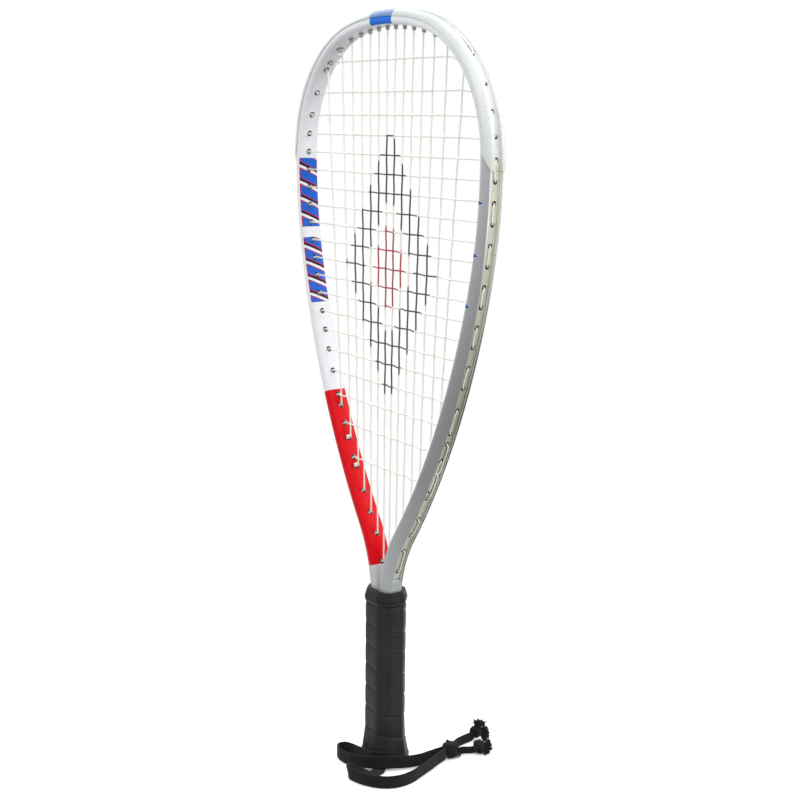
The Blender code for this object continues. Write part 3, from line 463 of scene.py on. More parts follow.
def reaches(pairs):
    """Distance along a section at each of its (out, across) pairs."""
    made = [0.0]
    for (a, b), (c, d) in zip(pairs, pairs[1:]):
        made.append(made[-1] + math.hypot(c - a, d - b))
    return made


def whole_ring(s, half):
    """A closed ring in space from half a section, and its places around, which are 0 at the inner middle."""
    centre, normal, _ = outline.at(s)
    reach = reaches(half)
    total = reach[-1]
    front = [centre + normal * out - SIDE_Y * across for out, across in half]
    back = [centre + normal * out + SIDE_Y * across for out, across in half]
    around = [r - total for r in reach] + [total - r for r in reversed(reach)][1:]
    return front + back[::-1][1:-1], around


def sweep_section(low, high, step, half):
    """Half a section, mirrored and swept along the frame."""
    count = max(2, math.ceil((high - low) / step))
    stations = [low + (high - low) * i / count for i in range(count + 1)]
    rings, around = zip(*(whole_ring(s, half(s)) for s in stations))
    build = Build()
    build.sweep(rings, stations, around)
    return build


# String holes
MAINS, CROSSES = 7, 20
STRING_RADIUS = 0.60 * MM
TIE_SIDE = 0.95 * MM
INNER_HOLE, OUTER_HOLE, STRIP_HOLE = 2.25 * MM, 2.4 * MM, 1.45 * MM
# Millimetres: first main from the middle, least pitch, and what the outermost adds
TOP_MAINS, LOW_MAINS = (5.1, 10.8, 15.8), (5.1, 7.9, 11.9)
FIRST_CROSS = 33.5 * MM
# Least pitch of the crosses, and what the first and the last add
CROSS_PITCH, CROSS_MORE_TOP, CROSS_MORE_LOW = 13.45 * MM, 8.5 * MM, 11.3 * MM


def inner_point(s):
    centre, normal, _ = outline.at(s)
    return centre - normal * tube_size(s)[0]


class Hole:
    """A drilled hole through both walls, with the grommet barrel and the string in it."""

    def __init__(self, s):
        self.s = s
        self.tie = False
        self.twin = None
        self.centre, self.normal, self.along = outline.at(s)
        self.half = tube_size(s)[0]

    def place(self, out, across=0.0, ahead=0.0):
        centre, normal, _ = outline.at(self.s + ahead)
        return centre + normal * out + SIDE_Y * across


def main_x(sizes, order, power):
    first, pitch, spread = sizes
    return (first + pitch * order + spread * (order / (MAINS - 1)) ** power) * MM


def pair(a, b):
    """Two holes that one string joins across the net."""
    a.twin, b.twin = b, a
    return a, b


tops, lows, crosses = {}, {}, {}
widest = outline.find(0.0, outline.shank_start, lambda s: -outline.at(s)[1].z)
for order in range(MAINS):
    top_x, low_x = main_x(TOP_MAINS, order, 4), main_x(LOW_MAINS, order, 2)
    top_s = outline.find(0.0, widest, lambda s: inner_point(s).x - top_x)
    low_s = outline.find(widest, outline.shank_start, lambda s: low_x - inner_point(s).x)
    for side in (-1, 1):
        key = side * (order + 1)
        tops[key], lows[key] = pair(Hole(side * top_s), Hole(side * low_s))
height = LENGTH - FIRST_CROSS
for number in range(1, CROSSES + 1):
    cross_s = outline.find(0.0, outline.shank_start, lambda s: height - inner_point(s).z)
    crosses[-number], crosses[number] = pair(Hole(-cross_s), Hole(cross_s))
    above = max(0.0, 1.0 - (number - 1) / 7.6)
    below = max(0.0, (number - 7.6) / 11.4)
    height -= CROSS_PITCH + CROSS_MORE_TOP * above ** 8 + CROSS_MORE_LOW * below ** 5
holes = list(tops.values()) + list(lows.values()) + list(crosses.values())
bumper_end = (crosses[5].s + crosses[6].s) / 2
ties = {"main_left": lows[-6], "main_right": lows[6], "cross_top": tops[-6], "cross_low": lows[-5]}
for tie_hole in ties.values():
    tie_hole.tie = True


def cross_line(number):
    """Distance along the frame of a cross's hole, also between two whole numbers."""
    whole = min(int(number), CROSSES - 1)
    return crosses[whole].s + (crosses[whole + 1].s - crosses[whole].s) * (number - whole)


def hole_rods(name, low, high, radius, members):
    """One mesh with a rod through every hole; low and high are functions of the hole."""
    work = bmesh.new()
    for hole in members:
        a, b = low(hole), high(hole)
        turn = Matrix((hole.along, SIDE_Y, hole.normal)).transposed().to_4x4()
        place = Matrix.Translation(hole.centre + hole.normal * (a + b) / 2) @ turn
        wide = 1.0 + (0.75 * MM / radius if hole.tie else 0.0)
        bmesh.ops.create_cone(work, cap_ends=True, segments=20, radius1=radius, radius2=radius, depth=b - a,
                              matrix=place @ Matrix.Diagonal((1.0, wide, 1.0, 1.0)))
    mesh = bpy.data.meshes.new(name)
    work.to_mesh(mesh)
    work.free()
    return link(bpy.data.objects.new(name, mesh))


# Paint of the frame
WHITE, WHITE_LIP_HIGHLIGHT = (0.86, 0.875, 0.90), (0.95, 0.955, 0.96)
RED, BLUE, MARK_BLUE = (0.72, 0.002, 0.007), (0.004, 0.16, 0.76), (0.004, 0.06, 0.36)
BAR_SHADE, BAR_RED, BAR_BLUE = (0.012, 0.012, 0.03), (0.50, 0.006, 0.016), (0.020, 0.13, 0.63)
BAND_LOW, BAND_HIGH = -15.4 * MM, 11.2 * MM
BAR_PITCH, BAR_SLANT, BAR_HALF, BAR_CORE = 12.5 * MM, 0.45, 8.3 * MM, 7.5 * MM
MARK_LOW, MARK_HIGH, MARK_SLOPE = -13.2 * MM, -8.3 * MM, 0.34
PANEL_HALF, PANEL_BOTTOM = 15.4 * MM, 154.5 * MM
PAINT_SOFT = 0.12 * MM


def silver_with_painted_reflection(made, u, v):
    """Silver lacquer with painted reflection: lighter towards the head and at the throat and darker between,
    and painted shade from the inner edge towards the lip.
    """
    flake = made.cells(5200.0)
    # Painted reflection: the right limb is lighter near the head and at the throat, darker between; the left
    # limb keeps one tone
    tone = made.ramp(u, cross_line(5.5), cross_line(16.5), 0.43, 0.28)
    tone = made.add(tone, made.ramp(u, cross_line(19.0), outline.shank_start, 0.0, 0.15, "SMOOTHSTEP"))
    tone = made.math("MAXIMUM", tone, made.ramp(u, 0.0, -0.01, 0.0, 0.49))
    # Painted shade: lighter by the inner edge and darker towards the groove's lip
    tone = made.times(tone, made.ramp(made.size(v), 9.0 * MM, 16.5 * MM, 1.16, 0.92))
    shade = made.fill(made.new("ShaderNodeCombineColor"), *(made.times(tone, c) for c in (0.97, 1.0, 1.015)))
    return made.mix(1.0, shade, made.ramp(flake, 0.15, 0.75, 0.88, 1.08), "MULTIPLY"), flake


def slanted_bars(made, color, u, v):
    """Blue bars with a red edge and a dark shade on the inner side of the left limb, in two fields."""
    box = (-cross_line(13.5), -cross_line(5.36), -BAR_HALF, BAR_HALF)
    slant = made.add(u, made.times(v, BAR_SLANT))
    gap = made.between(u, -cross_line(9.85), -cross_line(9.25), PAINT_SOFT)
    field = made.times(made.rounded(u, v, box, 1.0 * MM, PAINT_SOFT), made.less(1.0, gap))
    core = made.times(field, made.between(v, -BAR_CORE, BAR_CORE, PAINT_SOFT))
    for shift, wide, area, paint in ((1.7 * MM, 8.7 * MM, field, BAR_SHADE), (0.0, 8.5 * MM, field, BAR_RED),
                                     (0.0, 6.9 * MM, core, BAR_BLUE)):
        step = made.math("WRAP", made.add(slant, shift), BAR_PITCH / 2, -BAR_PITCH / 2)
        bar = made.between(step, -wide / 2, wide / 2, PAINT_SOFT)
        color = made.mix(made.times(bar, area), color, paint)
    return color


def edge_marks(made, color, u, v):
    """Three small blue triangles on the right limb's inner edge."""
    for number in (7.0, 9.5, 12.0):
        off = made.size(made.less(u, cross_line(number)))
        wide = made.times(made.add(v, -MARK_LOW), MARK_SLOPE)
        mark = made.ramp(made.less(off, wide), -PAINT_SOFT, PAINT_SOFT, 1.0, 0.0)
        mark = made.times(mark, made.between(v, MARK_LOW, MARK_HIGH, PAINT_SOFT))
        color = made.mix(mark, color, MARK_BLUE)
    return color


def frame_paint():
    made = Surface("frame_paint", 0.24, specular=0.08)
    u, v = made.along()
    off = made.size(v)
    silver_and_reflection, flake = silver_with_painted_reflection(made, u, v)
    haze = made.ramp(made.noise(34.0, 2.0), 0.3, 0.7, 0.985, 1.0)
    white = made.mix(1.0, WHITE, haze, "MULTIPLY")
    # Painted highlight: brighter white on the lip beside the groove, where the side light falls
    white = made.mix(made.ramp(off, 16.0 * MM, 16.8 * MM), white, WHITE_LIP_HIGHLIGHT)
    # Silver on the right limb's faces between white edges, and all round the left one below its panel
    right = made.ramp(u, 0.085, 0.150, 0.0, 1.0, "SMOOTHSTEP")
    beyond = made.ramp(u, cross_line(8.0), cross_line(20.0), 0.0, 6.0 * MM)
    beyond = made.add(beyond, made.ramp(u, cross_line(19.0), cross_line(20.0), 0.0, 20.0 * MM))
    right = made.times(right, made.ramp(off, 9.0 * MM, 9.6 * MM))
    right = made.times(right, made.ramp(made.less(off, beyond), 16.6 * MM, 17.2 * MM, 1.0, 0.0))
    panel_low = -outline.find(0.2, outline.end, lambda s: PANEL_BOTTOM - outline.at(s)[0].z)
    left = made.ramp(u, panel_low + 0.3 * MM, panel_low - 0.3 * MM, 0.0, 1.0)
    bare = made.math("MAXIMUM", right, left)
    panel = (panel_low, -cross_line(17.78), -PANEL_HALF, PANEL_HALF)
    red = made.rounded(u, v, panel, 2.2 * MM, PAINT_SOFT)
    color = made.mix(red, made.mix(bare, white, silver_and_reflection), RED)
    # Blue band over the crown's faces, with the inner side left white
    band = made.rounded(u, v, (BAND_LOW, BAND_HIGH, -30 * MM, 30 * MM), 3.0 * MM, PAINT_SOFT)
    band = made.times(band, made.ramp(off, 6.4 * MM, 6.4 * MM + 2 * PAINT_SOFT))
    color = slanted_bars(made, made.mix(band, color, BLUE), u, v)
    made.set("Base Color", edge_marks(made, color, u, v))
    metal = made.times(bare, made.less(1.0, red))
    made.set("Metallic", made.times(metal, 0.22))
    made.set("Roughness", made.ramp(metal, 0.0, 1.0, 0.24, 0.36))
    made.set("Coat Weight", 0.03)
    made.set("Coat Roughness", 0.12)
    peel = made.bump(made.noise(520.0, 2.0), 0.02 * MM, 0.35)
    made.set("Normal", made.bump(flake, 0.01 * MM, 0.12, peel))
    return made.material


def shaded_tube_inside():
    """Raw aluminium of the tube's inside, dull, and coloured near black as painted shade behind the holes."""
    made = Surface("tube_inside_shade", 0.6, metallic=0.3, specular=0.2)
    # Painted shade: near black, for the dark inside the tube
    made.set("Base Color", made.mottle(made.noise(120.0, 3.0), (0.045, 0.046, 0.048), (0.075, 0.076, 0.079)))
    return made.material


def dress_frame():
    end = outline.end
    item = sweep_section(-end, end, (2.0) * MM, tube_half).item("frame_skin", frame_paint())
    core = sweep_section(-end + TUBE_WALL, end - TUBE_WALL, 8.0 * MM, core_half)
    cut(item, core.item("core", shaded_tube_inside(), 40.0))
    cut(item, hole_rods("inner", lambda h: -h.half - 2 * MM, lambda h: 0.0, INNER_HOLE, holes))
    cut(item, hole_rods("outer", lambda h: 0.0, lambda h: h.half + 2 * MM, OUTER_HOLE, holes))
    finish_mesh(item.data)
    seat(item, "frame_tube")


# Bumper guard and grommet strips
STRIP_BASE, STRIP_WALL, STRIP_EDGE = 0.7 * MM, 0.9 * MM, 0.2 * MM
CHANNEL_HALF = GROOVE_WIDE / 2 - EASE
CHANNEL_INNER = CHANNEL_HALF - STRIP_WALL
SKIRT_CROWN, SKIRT_LIMB, SKIRT_THICK, SKIRT_RUNOUT = 5.2 * MM, 7.6 * MM, 0.9 * MM, 16.0 * MM
BARREL_RADIUS, BARREL_BORE, BARREL_SLIM = 1.5 * MM, 1.0 * MM, 0.42 * MM


def nylon():
    """Milky nylon: nearly white over the head, yellowed in the channels down the limbs."""
    made = Surface("clear_nylon_skin", 0.3)
    cloud = made.noise(90.0, 3.0)
    u, v = made.along()
    off = made.size(u)
    head = made.mottle(cloud, (0.81, 0.85, 0.845), (0.76, 0.80, 0.79))
    head = made.mix(made.ramp(off, 20.0 * MM, 75.0 * MM, 1.0, 0.0), head, (0.64, 0.69, 0.675))
    # Painted highlight: lighter beside the channel away from the crown
    across = made.size(made.split(made.place())[1])
    thin = made.times(made.ramp(across, 4.8 * MM, 7.4 * MM, 0.95, 0.0), made.ramp(off, 40.0 * MM, 80.0 * MM))
    head = made.mix(thin, head, (0.95, 0.96, 0.945))
    # The blue band shows through it at the crown
    under = made.rounded(u, v, (BAND_LOW - 0.5 * MM, BAND_HIGH + 0.5 * MM, -0.2, 0.2), 2.0 * MM, 0.5 * MM)
    head = made.mix(made.times(under, 0.94), head, (0.11, 0.25, 0.52))
    # Darker down the limbs from cross 8 to 17, and lighter again towards the throat
    limb = made.mottle(cloud, (0.86, 0.85, 0.71), (0.78, 0.78, 0.66))
    dim = made.math("MINIMUM", made.ramp(off, cross_line(8.0), cross_line(17.0), 0.0, 0.58),
                    made.ramp(off, cross_line(17.5), cross_line(19.8), 0.58, 0.22))
    limb = made.mix(dim, limb, (0.20, 0.20, 0.155))
    down = made.ramp(off, bumper_end - 12 * MM, bumper_end + 2 * MM, kind="SMOOTHSTEP")
    speck = made.ramp(made.cells(1300.0), 0.12, 0.2, 1.0, 0.0)
    made.set("Base Color", made.mix(made.times(speck, 0.08), made.mix(down, head, limb), (0.45, 0.48, 0.48)))
    made.set("Transmission Weight", 0.15)
    made.set("IOR", 1.46)
    made.set("Subsurface Weight", 0.2)
    made.set("Subsurface Radius", (0.002, 0.002, 0.0015))
    made.set("Roughness", made.ramp(made.noise(400.0), 0.3, 0.7, 0.26, 0.40))
    made.set("Normal", made.bump(made.noise(700.0, 2.0), 0.03 * MM, 0.4))
    return made.material


def grommet():
    """The barrels' nylon: painted grey as shade at the crown, lighter down the limbs, and painted near black
    as shade on the flange and in the bore.
    """
    made = Surface("grommet_nylon", 0.4, specular=0.25)
    cloud = made.noise(300.0, 3.0)
    crown = made.mottle(cloud, (0.40, 0.40, 0.38), (0.54, 0.54, 0.51))
    limb = made.mottle(cloud, (0.74, 0.74, 0.71), (0.86, 0.86, 0.83))
    # Painted shade: the barrels high on the crown are grey, those lower down light
    color = made.mix(made.ramp(made.split(made.place())[2], 0.500, 0.528), limb, crown)
    # Painted shade: near black on the flange and inside the bore
    color = made.mix(made.ramp(made.along()[1], 0.4, 0.5), color, (0.055, 0.058, 0.047))
    made.set("Base Color", color)
    made.set("Roughness", made.ramp(cloud, 0.3, 0.7, 0.32, 0.5))
    made.set("Normal", made.bump(made.noise(1500.0, 2.0), 0.03 * MM, 0.3))
    return made.material


def channel_inside(low):
    """The channel's floor and the foot of its wall."""
    floor, inner = low + STRIP_BASE, CHANNEL_INNER
    return [(floor, 0.0), (floor, inner * 0.6), (floor, inner - 0.35 * MM),
            (floor + 0.1 * MM, inner - 0.1 * MM), (floor + 0.35 * MM, inner)]


def channel_underside(low):
    half, edge = CHANNEL_HALF, STRIP_EDGE
    return [(low + edge, half), (low, half - edge), (low, half * 0.5), (low, 0.0)]


def channel_half(s):
    h, _ = tube_size(s)
    low, top = h - GROOVE_DEEP + EASE, h - 0.3 * MM
    half, inner, edge = CHANNEL_HALF, CHANNEL_INNER, STRIP_EDGE
    rim = [(top - edge, inner), (top, inner + edge), (top, half - edge), (top - edge, half)]
    return channel_inside(low) + rim + channel_underside(low)


def bumper_half(s):
    """The channel, with skirts that wrap over the frame's face and end in a curved edge."""
    h, _ = tube_size(s)
    low, crest = h - GROOVE_DEEP + EASE, h + RIM_RISE
    half, inner = CHANNEL_HALF, CHANNEL_INNER
    skin = face_curve(s)
    reach = reaches(skin)
    left = blend(bumper_end - abs(s), 0.0, SKIRT_RUNOUT)
    full = SKIRT_CROWN + (SKIRT_LIMB - SKIRT_CROWN) * blend(abs(s), 45.0 * MM, 115.0 * MM)
    full *= 0.08 + 0.92 * math.sin(math.pi / 2 * left) ** 1.1
    lift = 0.15 * MM + 0.3 * MM * (1.0 - left)

    def on_skin(distance, raised):
        index = min(max(i for i, r in enumerate(reach) if r <= distance + 1e-9), len(skin) - 2)
        (a, b), (c, d) = skin[index], skin[index + 1]
        t = (distance - reach[index]) / (reach[index + 1] - reach[index])
        size = math.hypot(c - a, d - b)
        return a + (c - a) * t + raised * (d - b) / size, b + (d - b) * t - raised * (c - a) / size

    shares = [k / 8 for k in range(1, 9)]
    crown = [(crest - 0.35 * MM, inner), (crest - 0.08 * MM, inner + 0.12 * MM), (crest, inner + 0.45 * MM),
             (crest, half + 0.35 * MM), (crest - 0.15 * MM, half + 0.95 * MM)]
    outer = [on_skin(full * share, lift + SKIRT_THICK * (1.0 - 0.45 * share ** 2)) for share in shares]
    edge = [on_skin(full + 0.25 * MM, lift + 0.28 * MM)]
    under = [on_skin(full * share, lift) for share in reversed(shares)]
    close = [(h + EASE, half + 0.35 * MM), (h + 0.1 * MM, half + 0.05 * MM)]
    return channel_inside(low) + crown + outer + edge + under + close + channel_underside(low)


def dress_strip(name, low, high, half, members, surface):
    """A strip with holes in its floor."""
    step = 1.5 * MM
    item = sweep_section(low, high, step, half).item(name + "_skin", surface, 45.0)
    cut(item, hole_rods("bores", lambda h: h.half - GROOVE_DEEP - MM, lambda h: h.half + 4 * MM,
                        STRIP_HOLE, members))
    finish_mesh(item.data)
    seat(item, name)


def barrel_end(hole):
    if abs(hole.s) < bumper_end:
        return -hole.half - (2.7 if abs(hole.normal.z) > 0.5 else 1.9) * MM
    return -hole.half - 0.5 * MM


def dress_barrels(name, members, surface):
    """Thin tubes from the strip's floor through the frame, each drawn a little the way its string pulls."""
    build = Build()
    sides = 20
    for hole in members:
        ahead = (inner_point(hole.twin.s) - inner_point(hole.s)).normalized()
        pull = (ahead - hole.normal * ahead.dot(hole.normal)) * 0.45 * MM
        low, high, face = barrel_end(hole), hole.half - GROOVE_DEEP + EASE, -hole.half
        floor = high + STRIP_BASE
        wide = (1.0 + 0.55 * MM / BARREL_RADIUS) if hole.tie else 1.0
        slim = 0.0 if abs(hole.normal.z) > 0.75 else BARREL_SLIM
        outer, bore = BARREL_RADIUS - slim, BARREL_BORE - slim / 2
        # Place along the hole, radius and share of the pull: the flange, down the outside, up the bore
        levels = [(floor + 0.07 * MM, 1.75 * MM, 0.0), (floor - 0.05 * MM, 1.8 * MM, 0.0),
                  (floor - 0.05 * MM, 1.38 * MM, 0.0), (high, 1.38 * MM, 0.0), (face + 1.6 * MM, outer, 0.2),
                  (face + 0.6 * MM, outer, 0.5), (face - 0.1 * MM, outer, 0.8), (low + 0.25 * MM, outer, 1.1),
                  (low + 0.07 * MM, outer - 0.07 * MM, 1.15), (low, outer - 0.16 * MM, 1.15),
                  (low + 0.05 * MM, bore + 0.1 * MM, 1.15), (low + 0.3 * MM, bore, 1.1),
                  (face - 0.1 * MM, bore, 0.8), (face + 1.6 * MM, BARREL_BORE, 0.2), (high, 1.25 * MM, 0.0),
                  (floor + 0.07 * MM, 1.25 * MM, 0.0)]
        rings, around = [], []
        for level, (out, radius, share) in enumerate(levels):
            # The second coordinate is past 0.5 on the flange and in the bore, where the material paints shade
            # near black
            painted_shade = 1.0 if level > 10 or level < 2 else 0.0
            around.append([k * 0.4 * MM + painted_shade for k in range(sides + 1)])
            middle = hole.centre + hole.normal * out + pull * share
            rings.append([middle + hole.along * math.cos(q) * radius + SIDE_Y * math.sin(q) * radius * wide
                          for q in angles(sides)])
        rings.append(rings[0])
        around.append(around[-1])
        build.sweep(rings, lengths([ring[0] for ring in rings]), around, caps=False)
    item = build.item(name + "_barrels", surface)
    change_mesh(item.data, lambda work: bmesh.ops.remove_doubles(work, verts=work.verts, dist=1e-7))
    finish_mesh(item.data, 50.0)
    seat(item, name)


def dress_strips():
    end = groove_end - GROOVE_RUNOUT - EASE
    head = [h for h in holes if abs(h.s) < bumper_end]
    left = [h for h in holes if h.s < -bumper_end]
    right = [h for h in holes if h.s > bumper_end]
    strips = (("bumper_guard", -bumper_end, bumper_end, bumper_half, head),
              ("grommet_strip_left", -end, -bumper_end - EASE, channel_half, left),
              ("grommet_strip_right", bumper_end + EASE, end, channel_half, right))
    surface = nylon()
    for name, low, high, half, members in strips:
        dress_strip(name, low, high, half, members, surface)
    inner = grommet()
    for name, _, _, _, members in strips:
        dress_barrels(name, members, inner)


# Strings
STRING_LEVEL = -GROOVE_DEEP + EASE + STRIP_BASE + 0.4 * MM + STRING_RADIUS
STRING_STEP = 1.5 * MM
STRING_SIDES = 12
LOOP_SIDE = 1.5 * MM
MAIN_WEAVE, CROSS_WEAVE = 0.18 * MM, 1.02 * MM
STENCIL_Z = 0.380
TIE_TURNS, TIE_RADIUS, TIE_THICK = 2.4, 1.05, 0.55 * MM


def gut():
    """Cream string with a stencil in ink: a black ring of four sides round a red core."""
    made = Surface("string_gut", 0.34, specular=0.3)
    x, _, z = made.split(made.place())
    color = made.mottle(made.noise(260.0, 3.0), (0.95, 0.94, 0.88), (0.88, 0.865, 0.79))

    def diamond(wide, tall):
        rise = made.size(made.less(z, STENCIL_Z))
        return made.add(made.math("DIVIDE", made.size(x), wide), made.math("DIVIDE", rise, tall))

    outer = diamond(0.058, 0.100)
    black = made.times(made.ramp(outer, 0.99, 1.01, 1.0, 0.0), made.ramp(outer, 0.52, 0.54))
    red = made.ramp(diamond(0.023, 0.036), 0.97, 1.03, 1.0, 0.0)
    ink = made.ramp(made.noise(900.0, 2.0), 0.25, 0.75, 0.9, 1.0)
    color = made.mix(made.times(black, ink), color, (0.005, 0.006, 0.006))
    made.set("Base Color", made.mix(made.times(red, ink), color, (0.40, 0.010, 0.016)))
    made.set("Subsurface Weight", 0.15)
    made.set("Subsurface Radius", (0.001, 0.001, 0.0008))
    made.set("Coat Weight", 0.3)
    made.set("Normal", made.bump(made.noise(1800.0, 2.0), 0.02 * MM, 0.3))
    return made.material


def groove_run(first, second, side, first_across=0.0, second_across=0.0):
    """Points of a string from one hole's mouth along the outside of the frame to another's."""
    ahead = 1.0 if second.s > first.s else -1.0

    def mouth(hole, across, way):
        level = hole.half + STRING_LEVEL
        turned = across if across * side > 0 else (across + side * LOOP_SIDE) / 2
        return [hole.place(level - 2.4 * MM, across), hole.place(level - 0.75 * MM, across, way * 0.12 * MM),
                hole.place(level - 0.05 * MM, turned, way * 1.1 * MM)]

    low, high = first.s + ahead * 3.0 * MM, second.s - ahead * 3.0 * MM
    count = max(1, round(abs(high - low) / (5 * MM)))
    middle = []
    for i in range(count + 1):
        s = low + (high - low) * i / count
        centre, normal, _ = outline.at(s)
        middle.append(centre + normal * (tube_size(s)[0] + STRING_LEVEL) + SIDE_Y * side * LOOP_SIDE)
    return mouth(first, first_across, ahead) + middle + mouth(second, second_across, -ahead)[::-1]


def tie_across(hole):
    """The main beside a tie-off moves over in their common hole."""
    return TIE_SIDE if hole.tie else 0.0


def inside_mouth(hole, across=0.0):
    return hole.place(min(barrel_end(hole), -hole.half) - 0.9 * MM, across)


main_names = [-(i + 1) for i in reversed(range(MAINS))] + [i + 1 for i in range(MAINS)]
main_ends = [(inside_mouth(tops[k], tie_across(tops[k])), inside_mouth(lows[k], tie_across(lows[k])))
             for k in main_names]
# Where a main and a cross meet, and 1 or -1 for the side on which the cross passes
meets = {}
for index, (top_end, low_end) in enumerate(main_ends):
    for number in range(1, CROSSES + 1):
        level = inner_point(crosses[-number].s).z
        if low_end.z + 2 * MM < level < top_end.z - 2 * MM:
            spot = top_end.lerp(low_end, (top_end.z - level) / (top_end.z - low_end.z))
            meets[index, number] = (spot, 1.0 if (index + number) % 2 else -1.0)


def woven_run(first, last, crossings, offset):
    """A run over and under at its crossings, eased between them across the net and straight in its plane."""
    stops = [first, *(spot + SIDE_Y * over * offset for spot, over in crossings), last]
    made = []
    for a, b in zip(stops, stops[1:]):
        count = max(1, math.ceil((b - a).length / STRING_STEP))
        for k in range(count):
            t = k / count
            ease = (1 - math.cos(math.pi * t)) / 2
            made.append(Vector((a.x + (b.x - a.x) * t, a.y + (b.y - a.y) * ease, a.z + (b.z - a.z) * t)))
    return made + [last]


def main_run(index):
    crossings = [meets[index, n] for n in range(1, CROSSES + 1) if (index, n) in meets]
    return woven_run(*main_ends[index], crossings, -MAIN_WEAVE)


def cross_run(number):
    crossings = [meets[i, number] for i in range(len(main_names)) if (i, number) in meets]
    return woven_run(inside_mouth(crosses[-number]), inside_mouth(crosses[number]), crossings, CROSS_WEAVE)


def dress_string(name, replaced, points, step, radius, surface):
    build = Build()
    add_tube(build, spline(points, step), radius, STRING_SIDES)
    seat(build.item(name, surface, 60.0), replaced)


def tie_coil(hole):
    """Points of a tie-off: a coil that swells in its middle, with its end standing out."""
    mouth = inside_mouth(hole, -TIE_SIDE)
    middle = mouth - hole.normal * 1.5 * MM - SIDE_Y * 0.75 * MM
    coil = [mouth + hole.normal * 0.6 * MM]
    for q in (k / 30 for k in range(31)):
        a = 2 * math.pi * TIE_TURNS * q
        r = (TIE_RADIUS + 0.25 * math.sin(2 * math.pi * q)) * MM
        coil.append(middle + hole.along * math.cos(a) * r + SIDE_Y * math.sin(a) * r
                    - hole.normal * (q - 0.5) * 1.6 * MM)
    return coil + [coil[-1] - hole.normal * 1.2 * MM + hole.along * 0.8 * MM]


def dress_strings():
    surface = gut()
    start, finish = ties["main_left"], ties["main_right"]
    points = [inside_mouth(start, -TIE_SIDE)] + groove_run(start, lows[main_names[0]], 1, -TIE_SIDE)
    for index, order in enumerate(main_names):
        run = main_run(index)
        upward = index % 2 == 0
        points += run[::-1] if upward else run
        if index < len(main_names) - 1:
            group = tops if upward else lows
            first, second = group[order], group[main_names[index + 1]]
            points += groove_run(first, second, 1, tie_across(first), tie_across(second))
    points += groove_run(lows[main_names[-1]], finish, 1, 0.0, -TIE_SIDE) + [inside_mouth(finish, -TIE_SIDE)]
    dress_string("main_string_fine", "main_string", points, STRING_STEP, STRING_RADIUS, surface)

    start, finish = ties["cross_top"], ties["cross_low"]
    points = [inside_mouth(start, -TIE_SIDE)] + groove_run(start, crosses[-1], -1, -TIE_SIDE)
    for number in range(1, CROSSES + 1):
        way = 1 if number % 2 else -1
        points += cross_run(number)[::way]
        if number < CROSSES:
            points += groove_run(crosses[way * number], crosses[way * (number + 1)], -1)
    points += groove_run(crosses[-CROSSES], finish, -1, 0.0, -TIE_SIDE) + [inside_mouth(finish, -TIE_SIDE)]
    dress_string("cross_string_fine", "cross_string", points, STRING_STEP, STRING_RADIUS, surface)

    for name, hole in ties.items():
        points = tie_coil(hole)
        dress_string("string_tie_" + name, "string_knot_" + name, points, 0.35 * MM, TIE_THICK, surface)


# Handle
GRIP_HALF_X, GRIP_HALF_Y, GRIP_CORNER = 15.5 * MM, 13.3 * MM, 7.5 * MM
FLARE, FLARE_TALL = 4.3 * MM, 30.0 * MM
GRIP_BOTTOM, GRIP_PITCH, GRIP_LAP = 5.2 * MM, 17.0 * MM, 0.25 * MM
# Length along the tape, or round the collar, that one side of the octagon counts for in the texture
SIDE_LONG = 12.0 * MM


def octagon(offset):
    """The grip's eight corners with every side moved out by offset, anticlockwise from the +X side."""
    x, y = GRIP_HALF_X + offset, GRIP_HALF_Y + offset
    c = GRIP_CORNER + offset * (2.0 - math.sqrt(2.0))
    corners = ((x, -y + c), (x, y - c), (x - c, y), (-x + c, y),
               (-x, y - c), (-x, -y + c), (-x + c, -y), (x - c, -y))
    return [Vector((px, py, 0.0)) for px, py in corners]


def flare(z):
    return FLARE * max(0.0, 1.0 - z / FLARE_TALL) ** 1.7


def grip_point(q, offset, z, soft=0.34):
    """A point on the grip's skin: q counts the octagon's corners, which are rounded off."""
    corners = octagon(offset)
    total = Vector((0.0, 0.0, 0.0))
    for k in range(7):
        at = q + soft * (k - 3) / 6
        i = math.floor(at)
        total += corners[i % 8].lerp(corners[(i + 1) % 8], at - i)
    return Vector((total.x / 7, total.y / 7, z))


def leather():
    made = Surface("grip_leather", 0.5, specular=0.12)
    u, v = made.along()
    place = made.fill(made.new("ShaderNodeCombineXYZ"), u, v)
    cloud = made.noise(60.0, 4.0)
    color = made.mix(made.ramp(cloud, 0.3, 0.72), (0.014, 0.014, 0.0145), (0.024, 0.024, 0.0245))
    edge = made.ramp(made.size(v), 6.6 * MM, 8.1 * MM)
    made.set("Base Color", made.mix(made.times(edge, 0.5), color, (0.034, 0.034, 0.035)))
    made.set("Roughness", made.ramp(cloud, 0.3, 0.7, 0.42, 0.58))
    grain = made.bump(made.cells(1500.0, "SMOOTH_F1", place), 0.12 * MM, 0.5)
    made.set("Normal", made.bump(made.noise(2600.0, 3.0, 0.6, place), 0.05 * MM, 0.4, grain))
    return made.material


def rubber(name, tone, roughness):
    made = Surface(name, roughness, specular=0.12)
    cloud = made.noise(70.0, 4.0)
    made.set("Base Color", made.mottle(cloud, tuple(0.8 * c for c in tone), tuple(1.3 * c for c in tone)))
    made.set("Roughness", made.ramp(cloud, 0.3, 0.7, roughness - 0.08, roughness + 0.06))
    made.set("Normal", made.bump(made.noise(1400.0, 3.0), 0.05 * MM, 0.35))
    return made.material


